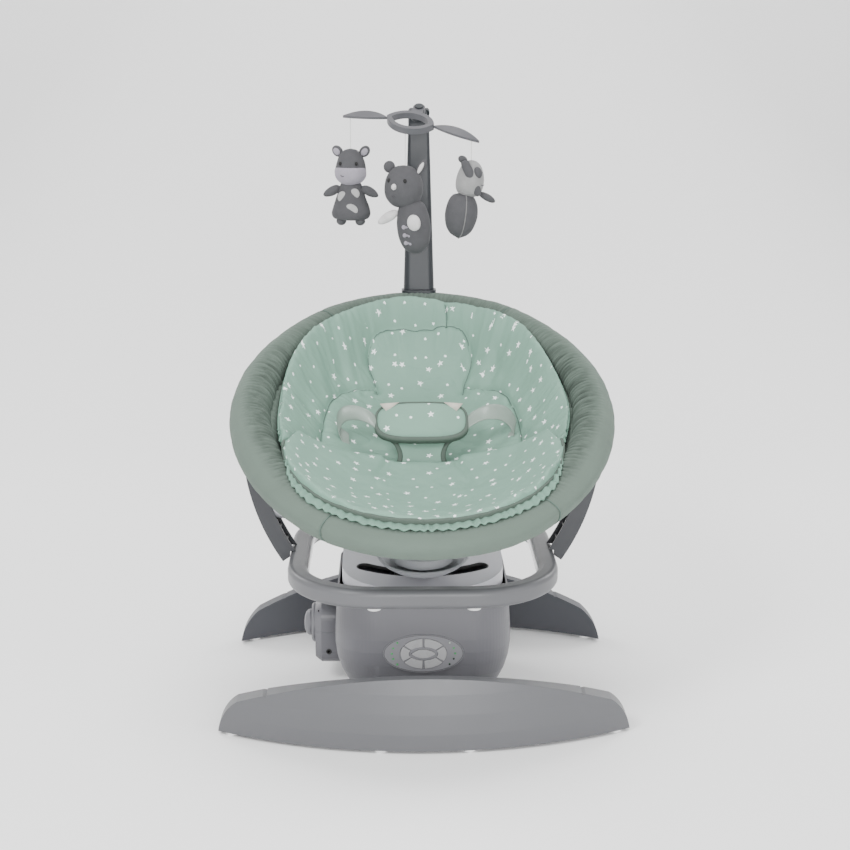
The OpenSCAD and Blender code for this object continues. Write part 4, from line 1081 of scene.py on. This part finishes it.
class Toy:
    """One plush toy, gathered into a single mesh with several materials.

    The origin is the top of its head.
    """

    def __init__(self, node, seed):
        self.node = node
        self.seed = seed
        self.vertices, self.faces, self.slots, self.materials = [], [], [], []
        self.count = 0

    def add(self, points, faces, material):
        if material not in self.materials:
            self.materials.append(material)
        slot = self.materials.index(material)
        self.vertices.append(np.asarray(points, float))
        self.faces += [tuple(i + self.count for i in f) for f in faces]
        self.slots += [slot] * len(faces)
        self.count += len(points)

    def blob(self, material, centre, profile, width=1.0, depth=0.8, tilt=0.0, turn=0.0, seam=0.0006,
             lump=0.0006):
        """Stuffed shape turned from a profile of heights and radii, flattened in depth, with side seams."""
        m = 56
        line = smooth_path([(r, 0, z) for z, r in profile], 44)
        phi = np.linspace(0, TAU, m, endpoint=False)
        r = np.maximum(line[:, 0], 0)
        x = r[:, None] * np.cos(phi) * width
        y = r[:, None] * np.sin(phi) * depth
        z = line[:, 2][:, None] * np.ones(m)
        points = np.stack([x, y, z], -1)
        side = np.exp(-((np.sin(phi) / 0.07) ** 2))[None]
        out = np.stack([np.cos(phi), np.sin(phi), 0 * phi], -1)[None]
        lumps = noise_at(points + self.seed, 60, 51) * lump
        points = points - out * (side * seam)[..., None] + out * lumps[..., None]
        spin = Matrix.Rotation(tilt, 3, "Y") @ Matrix.Rotation(turn, 3, "X")
        points = points.reshape(-1, 3) @ np.array(spin).T + np.array(centre)
        faces = grid_faces(44, m, wrap_cols=True)
        faces += [tuple(range(m))[::-1], tuple(43 * m + j for j in range(m))]
        self.add(points, faces, material)

    def egg(self, material, centre, rx, ry, rz, tilt=0.0, turn=0.0, taper=0.0, seam=0.0005, lump=0.0004):
        steps = np.linspace(0, math.pi, 15)
        profile = [(rz * math.cos(t), max(rx * math.sin(t) * (1 - taper * math.cos(t)), 0.0002))
                   for t in steps]
        self.blob(material, centre, profile, 1.0, ry / rx, tilt, turn, seam, lump)

    def seam_line(self, material, centre, profile, depth, tilt, radius, side=0.0):
        """Raised seam down the front of a blob with the same centre, profile, depth and tilt."""
        line = smooth_path([(r, 0, z) for z, r in profile], 60)
        r = np.maximum(line[:, 0], 0)
        points = np.stack([side * r, -depth * r * math.sqrt(1 - side * side) - radius * 0.3, line[:, 2]], -1)
        spin = np.array(Matrix.Rotation(tilt, 3, "Y"))
        self.tube(material, points @ spin.T + np.array(centre), radius)

    def tube(self, material, path, radius, sides=8):
        path = np.array(path, float)
        tangent = np.gradient(path, axis=0)
        tangent /= np.linalg.norm(tangent, axis=1)[:, None]
        ref = np.where(np.abs(tangent[:, 2:3]) > 0.9, [[1.0, 0, 0]], [[0, 0, 1.0]])
        a = np.cross(tangent, ref)
        a /= np.linalg.norm(a, axis=1)[:, None]
        b = np.cross(tangent, a)
        t = np.linspace(0, TAU, sides, endpoint=False)
        points = path[:, None] + radius * (a[:, None] * np.cos(t)[None, :, None]
                                           + b[:, None] * np.sin(t)[None, :, None])
        faces = grid_faces(len(path), sides, wrap_cols=True)
        faces += [tuple(range(sides))[::-1], tuple((len(path) - 1) * sides + j for j in range(sides))]
        self.add(points.reshape(-1, 3), faces, material)

    def card(self, material, centre, width, height, turn=0.0):
        """Small folded cloth label."""
        n = 9
        u = np.linspace(-0.5, 0.5, n)
        v = np.linspace(-0.5, 0.5, 13)
        U, V = np.meshgrid(u, v, indexing="ij")
        bend = 0.0022 * np.sin(V * 3.1 + 0.6) + 0.0008 * np.sin(U * 6)
        grid = []
        for lift in (0.0005, -0.0005):
            grid.append(np.stack([U * width, bend + lift, V * height], -1))
        spin = np.array(Matrix.Rotation(turn, 3, "Z"))
        points = np.concatenate([g.reshape(-1, 3) for g in grid]) @ spin.T + np.array(centre)
        count = n * 13
        faces = grid_faces(n, 13, flip=True) + grid_faces(n, 13, start=count)
        border = ([(0, j) for j in range(13)] + [(i, 12) for i in range(1, n)]
                  + [(n - 1, j) for j in range(11, -1, -1)] + [(i, 0) for i in range(n - 2, 0, -1)])
        ids = [i * 13 + j for i, j in border]
        faces += [(a, b, b + count, a + count) for a, b in zip(ids, ids[1:] + ids[:1])]
        self.add(points, faces, material)

    def finish(self, name, tilt=0.0, yaw=0.0, string=0.05):
        points = np.concatenate(self.vertices)
        spin = Matrix.Rotation(yaw, 3, "Z") @ Matrix.Rotation(tilt, 3, "Y")
        points = points @ np.array(spin).T
        hang = HANGS[self.node]
        points = points + np.array([hang.x, hang.y, hang.z - string])
        obj = object_from(name, points, self.faces)
        obj.data.materials.clear()
        for material in self.materials:
            obj.data.materials.append(material)
        obj.data.polygons.foreach_set("material_index", self.slots)
        fix_normals(obj)
        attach(obj, self.node)
        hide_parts(self.node)
        cord = [Vector((hang.x, hang.y, hang.z - string - 0.002)), hang + Vector((0, 0, 0.001))]
        path = smooth_path([cord[0], (cord[0] + cord[1]) / 2, cord[1]], 24)
        line = sweep(name + "_string", path, ring_section(0.0007, 8), up=(0, 1, 0))
        finish_piece(line, self.node, STRING)


def string_top(node):
    """Top of a toy's string in the CAD: the middle of its vertices nearest the top of its box."""
    mesh = NODES[node].data
    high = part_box(node)[1].z
    near = [v.co for v in mesh.vertices if v.co.z > high - 0.001]
    return sum(near, Vector()) / len(near)


HANGS = {node: string_top(node) for node in ("toy_left", "toy_middle", "toy_right")}
PLUSH = MATERIALS["plush"]


def smile(toy, centre, width, dip, material=None):
    path = [(centre[0] + width * t, centre[1] + 0.0012 * t * t * 4, centre[2] - dip * (1 - 4 * t * t))
            for t in np.linspace(-0.5, 0.5, 9)]
    toy.tube(material or STITCH, smooth_path(path, 18), 0.0006)


def make_toy_left():
    toy = Toy("toy_left", 1.0)
    toy.blob(PLUSH, (0, 0, 0), [(-0.0005, 0.002), (-0.003, 0.011), (-0.010, 0.0185), (-0.022, 0.0235),
                                (-0.036, 0.0262), (-0.048, 0.0245), (-0.058, 0.016), (-0.061, 0.004)],
             1.0, 0.84)
    toy.blob(MUZZLE_PLUSH, (0, -0.0022, 0), [(-0.0315, 0.0235), (-0.033, 0.0258), (-0.040, 0.0268),
                                             (-0.048, 0.0256), (-0.056, 0.0195), (-0.0615, 0.008),
                                             (-0.0625, 0.001)], 1.0, 0.88)
    toy.blob(PLUSH, (0, 0, 0), [(-0.054, 0.012), (-0.060, 0.018), (-0.070, 0.0215), (-0.085, 0.0265),
                                (-0.100, 0.0320), (-0.110, 0.0335), (-0.118, 0.0285), (-0.121, 0.012),
                                (-0.1215, 0.001)], 1.0, 0.66)
    for s in (-1, 1):
        toy.egg(PLUSH, (s * 0.0235, 0.003, -0.0050), 0.0085, 0.0055, 0.0105, tilt=s * 0.75)
        toy.egg(MUZZLE_PLUSH, (s * 0.0240, -0.0005, -0.0055), 0.0052, 0.0035, 0.0070, tilt=s * 0.75)
        toy.egg(PLUSH, (s * 0.0330, -0.002, -0.0720), 0.0078, 0.0070, 0.0165, tilt=-s * 1.1, taper=-0.15)
        toy.egg(PLUSH, (s * 0.0165, -0.004, -0.1215), 0.0085, 0.0085, 0.0078)
        toy.egg(EYE, (s * 0.0140, -0.0186, -0.0245), 0.0025, 0.0018, 0.0034, seam=0, lump=0)
    smile(toy, (-0.008, -0.0248, -0.0435), 0.008, 0.0020)
    for x, z, w, h, t in ((-0.0125, -0.0800, 0.0075, 0.0092, 0.4), (0.0100, -0.0745, 0.0078, 0.0084, -0.3),
                          (0.0060, -0.1000, 0.0108, 0.0076, 0.5)):
        y = -0.66 * math.sqrt(max((0.0215 + (-z - 0.070) * 0.30) ** 2 - x * x, 0.0001))
        toy.egg(SPOT_PLUSH, (x, y + 0.0003, z), w, 0.0018, h, tilt=t, seam=0, lump=0.0002)
    toy.finish("toy_left_plush", string=STRINGS["toy_left"], yaw=math.radians(-12))


def make_toy_middle():
    toy = Toy("toy_middle", 2.0)
    toy.blob(PLUSH, (-0.003, 0, 0), [(-0.0005, 0.003), (-0.003, 0.014), (-0.012, 0.0245), (-0.026, 0.0312),
                                     (-0.042, 0.0325), (-0.056, 0.0285), (-0.067, 0.0185), (-0.071, 0.005)],
             1.0, 0.80)
    toy.blob(PLUSH, (0.004, 0, 0), [(-0.060, 0.015), (-0.068, 0.0225), (-0.082, 0.0265), (-0.100, 0.0285),
                                    (-0.118, 0.0270), (-0.134, 0.0215), (-0.144, 0.0120), (-0.1475, 0.001)],
             1.0, 0.74, tilt=-0.10)
    toy.egg(PLUSH, (-0.0280, 0.003, -0.0035), 0.0100, 0.0055, 0.0100, tilt=-0.7)
    toy.egg(DARK_PLUSH, (-0.0282, -0.0008, -0.0042), 0.0066, 0.0030, 0.0066, tilt=-0.7)
    toy.egg(PLUSH, (0.0265, 0.003, -0.0040), 0.0062, 0.0050, 0.0150, tilt=0.50)
    toy.egg(LIGHT_PLUSH, (0.0262, -0.0010, -0.0045), 0.0034, 0.0026, 0.0105, tilt=0.50)
    for x in (-0.0235, 0.0050):
        y = -0.80 * math.sqrt(0.0307**2 - (x + 0.003) ** 2)
        toy.egg(EYE, (x, y - 0.0003, -0.0245), 0.0029, 0.0018, 0.0038, seam=0, lump=0)
    toy.egg(LIGHT_PLUSH, (-0.0135, -0.0245, -0.0345), 0.0044, 0.0052, 0.0052, seam=0)
    smile(toy, (-0.0150, -0.0240, -0.0500), 0.0054, 0.0016)
    toy.egg(LIGHT_PLUSH, (-0.0290, -0.005, -0.0865), 0.0082, 0.0072, 0.0200, tilt=1.02, taper=-0.1)
    toy.egg(LIGHT_PLUSH, (0.0195, -0.0215, -0.0930), 0.0112, 0.0068, 0.0135, tilt=-0.25)
    for x, z, r in ((0.0055, -0.1010, 0.0284), (0.0070, -0.1145, 0.0275), (0.0085, -0.1275, 0.0245)):
        y = -0.74 * math.sqrt(r * r - (x - 0.004 + 0.10 * z) ** 2)
        for s in (-1, 1):
            toy.egg(MUZZLE_PLUSH, (x + s * 0.0040, y + 0.0006, z), 0.0034, 0.0014, 0.0036, seam=0, lump=0)
        toy.egg(MUZZLE_PLUSH, (x, y, z), 0.0020, 0.0016, 0.0020, seam=0, lump=0)
    toy.card(TAG, (0.0300, -0.009, -0.1060), 0.0110, 0.0400, turn=0.5)
    toy.finish("toy_middle_plush", string=STRINGS["toy_middle"], yaw=math.radians(-14))


def make_toy_right():
    toy = Toy("toy_right", 3.0)
    toy.blob(HEAD_PLUSH, (0.002, 0, 0), [(-0.0005, 0.002), (-0.003, 0.010), (-0.012, 0.0190),
                                          (-0.028, 0.0245), (-0.044, 0.0250), (-0.056, 0.0190),
                                          (-0.062, 0.005)], 0.92, 0.92, tilt=0.12)
    body = [(-0.056, 0.010), (-0.060, 0.0185), (-0.072, 0.0250), (-0.090, 0.0275), (-0.108, 0.0245),
            (-0.122, 0.0160), (-0.130, 0.001)]
    toy.blob(PLUSH, (-0.006, 0, 0), body, 1.0, 0.80, tilt=0.12)
    toy.blob(PLUSH, (-0.0075, -0.0175, -0.020), [(0.0220, 0.002), (0.0200, 0.0062), (0.008, 0.0078),
                                                (-0.012, 0.0076), (-0.030, 0.0074), (-0.040, 0.0042),
                                                (-0.0415, 0.001)], 1.0, 0.62, tilt=-0.42)
    toy.egg(PLUSH, (-0.0155, -0.004, 0.0010), 0.0082, 0.0065, 0.0062, tilt=0.5)
    toy.egg(PLUSH, (0.0070, -0.0195, -0.0195), 0.0066, 0.0050, 0.0095, tilt=-0.3)
    toy.egg(PLUSH, (0.0245, -0.010, -0.0610), 0.0060, 0.0058, 0.0160, tilt=-1.05)
    toy.egg(PLUSH, (-0.0240, 0.002, -0.0720), 0.0055, 0.0060, 0.0120, tilt=0.7)
    smile(toy, (0.0125, -0.0200, -0.0190), 0.0056, 0.0014)
    smile(toy, (0.0150, -0.0195, -0.0400), 0.0044, 0.0010)
    toy.seam_line(GREY_PLUSH, (-0.006, 0, 0), body, 0.80, 0.12, 0.0009, side=0.1)
    toy.card(DARK_PLUSH, (-0.0310, 0.002, -0.0930), 0.0060, 0.0330, turn=0.3)
    toy.finish("toy_right_plush", string=STRINGS["toy_right"], yaw=math.radians(10))


STRINGS = {"toy_left": 0.052, "toy_middle": 0.052, "toy_right": 0.033}
make_toy_left()
make_toy_middle()
make_toy_right()

# ---------------------------------------------------------------- finish of the hard parts


def smooth_hard_parts():
    """Smooth shading on the CAD's curved faces, sharp at its real edges."""
    for cad in NODES.values():
        mesh = cad.data
        mesh.polygons.foreach_set("use_smooth", [True] * len(mesh.polygons))
        work = bmesh.new()
        work.from_mesh(mesh)
        sharp = [e.index for e in work.edges
                 if len(e.link_faces) != 2 or e.calc_face_angle(0) > math.radians(28)]
        work.free()
        flags = np.zeros(len(mesh.edges), bool)
        flags[sharp] = True
        attribute = (mesh.attributes.get("sharp_edge")
                     or mesh.attributes.new("sharp_edge", "BOOLEAN", "EDGE"))
        attribute.data.foreach_set("value", flags)
        mesh.update()


def make_panel_line():
    """Thin dark cord round the control panel, painted shade standing in for an outline groove."""
    low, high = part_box("control_bezel")
    centre = (low + high) / 2
    half_w, half_h = (high.x - low.x) / 2 - 0.0016, (high.z - low.z) / 2 - 0.0016
    t = np.linspace(0, TAU, 160, endpoint=False)
    path = np.stack([centre.x + half_w * np.cos(t), np.full(160, low.y - 0.0001),
                     centre.z + half_h * np.sin(t)], -1)
    line = sweep("panel_outline", path, ring_section(0.0004, 6), up=(0, 1, 0), closed=True)
    finish_piece(line, "base", PANEL_GROOVE_SHADE)


def make_led_faces():
    """Domes of the lamps: five lit green on the left and two on the right, one grey, two dark."""
    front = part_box("status_leds")[0].y
    centres = []
    for x_sign in (-1, 1):
        for i in range(-2, 3):
            centres.append((x_sign * (0.0485 - 0.0021 * i * i), 0.099 - 0.0087 * i, x_sign, i))
    for x, z, side, i in centres:
        lit = side < 0 or i in (-1, 0)
        kind = LED_LIT if lit else (LED_GREY if i == -2 else LED_DARK)
        t = np.linspace(0, TAU, 20, endpoint=False)
        rings = [(0.00145, 0.0), (0.00125, 0.00045), (0.0007, 0.0007), (0.0001, 0.00078)]
        points = [(x + r * math.cos(a), front - d, z + r * math.sin(a)) for r, d in rings for a in t]
        faces = grid_faces(4, 20, wrap_cols=True) + [tuple(60 + j for j in range(20))]
        dome = object_from(f"lamp_{'left' if side < 0 else 'right'}_{i + 3}", points, faces)
        fix_normals(dome)
        finish_piece(dome, "base", kind)


# Near-black colour of the panel's outline cord: painted shade of a groove.
PANEL_GROOVE_SHADE = plain("panel_groove_shade", (0.07, 0.07, 0.075), 0.6)
LED_LIT = plain("led_lit", (0.05, 0.36, 0.09), 0.3)
LED_DARK = plain("led_dark", (0.02, 0.02, 0.02), 0.25)
LED_GREY = plain("led_grey", (0.45, 0.46, 0.45), 0.3)

smooth_hard_parts()
make_panel_line()
make_led_faces()
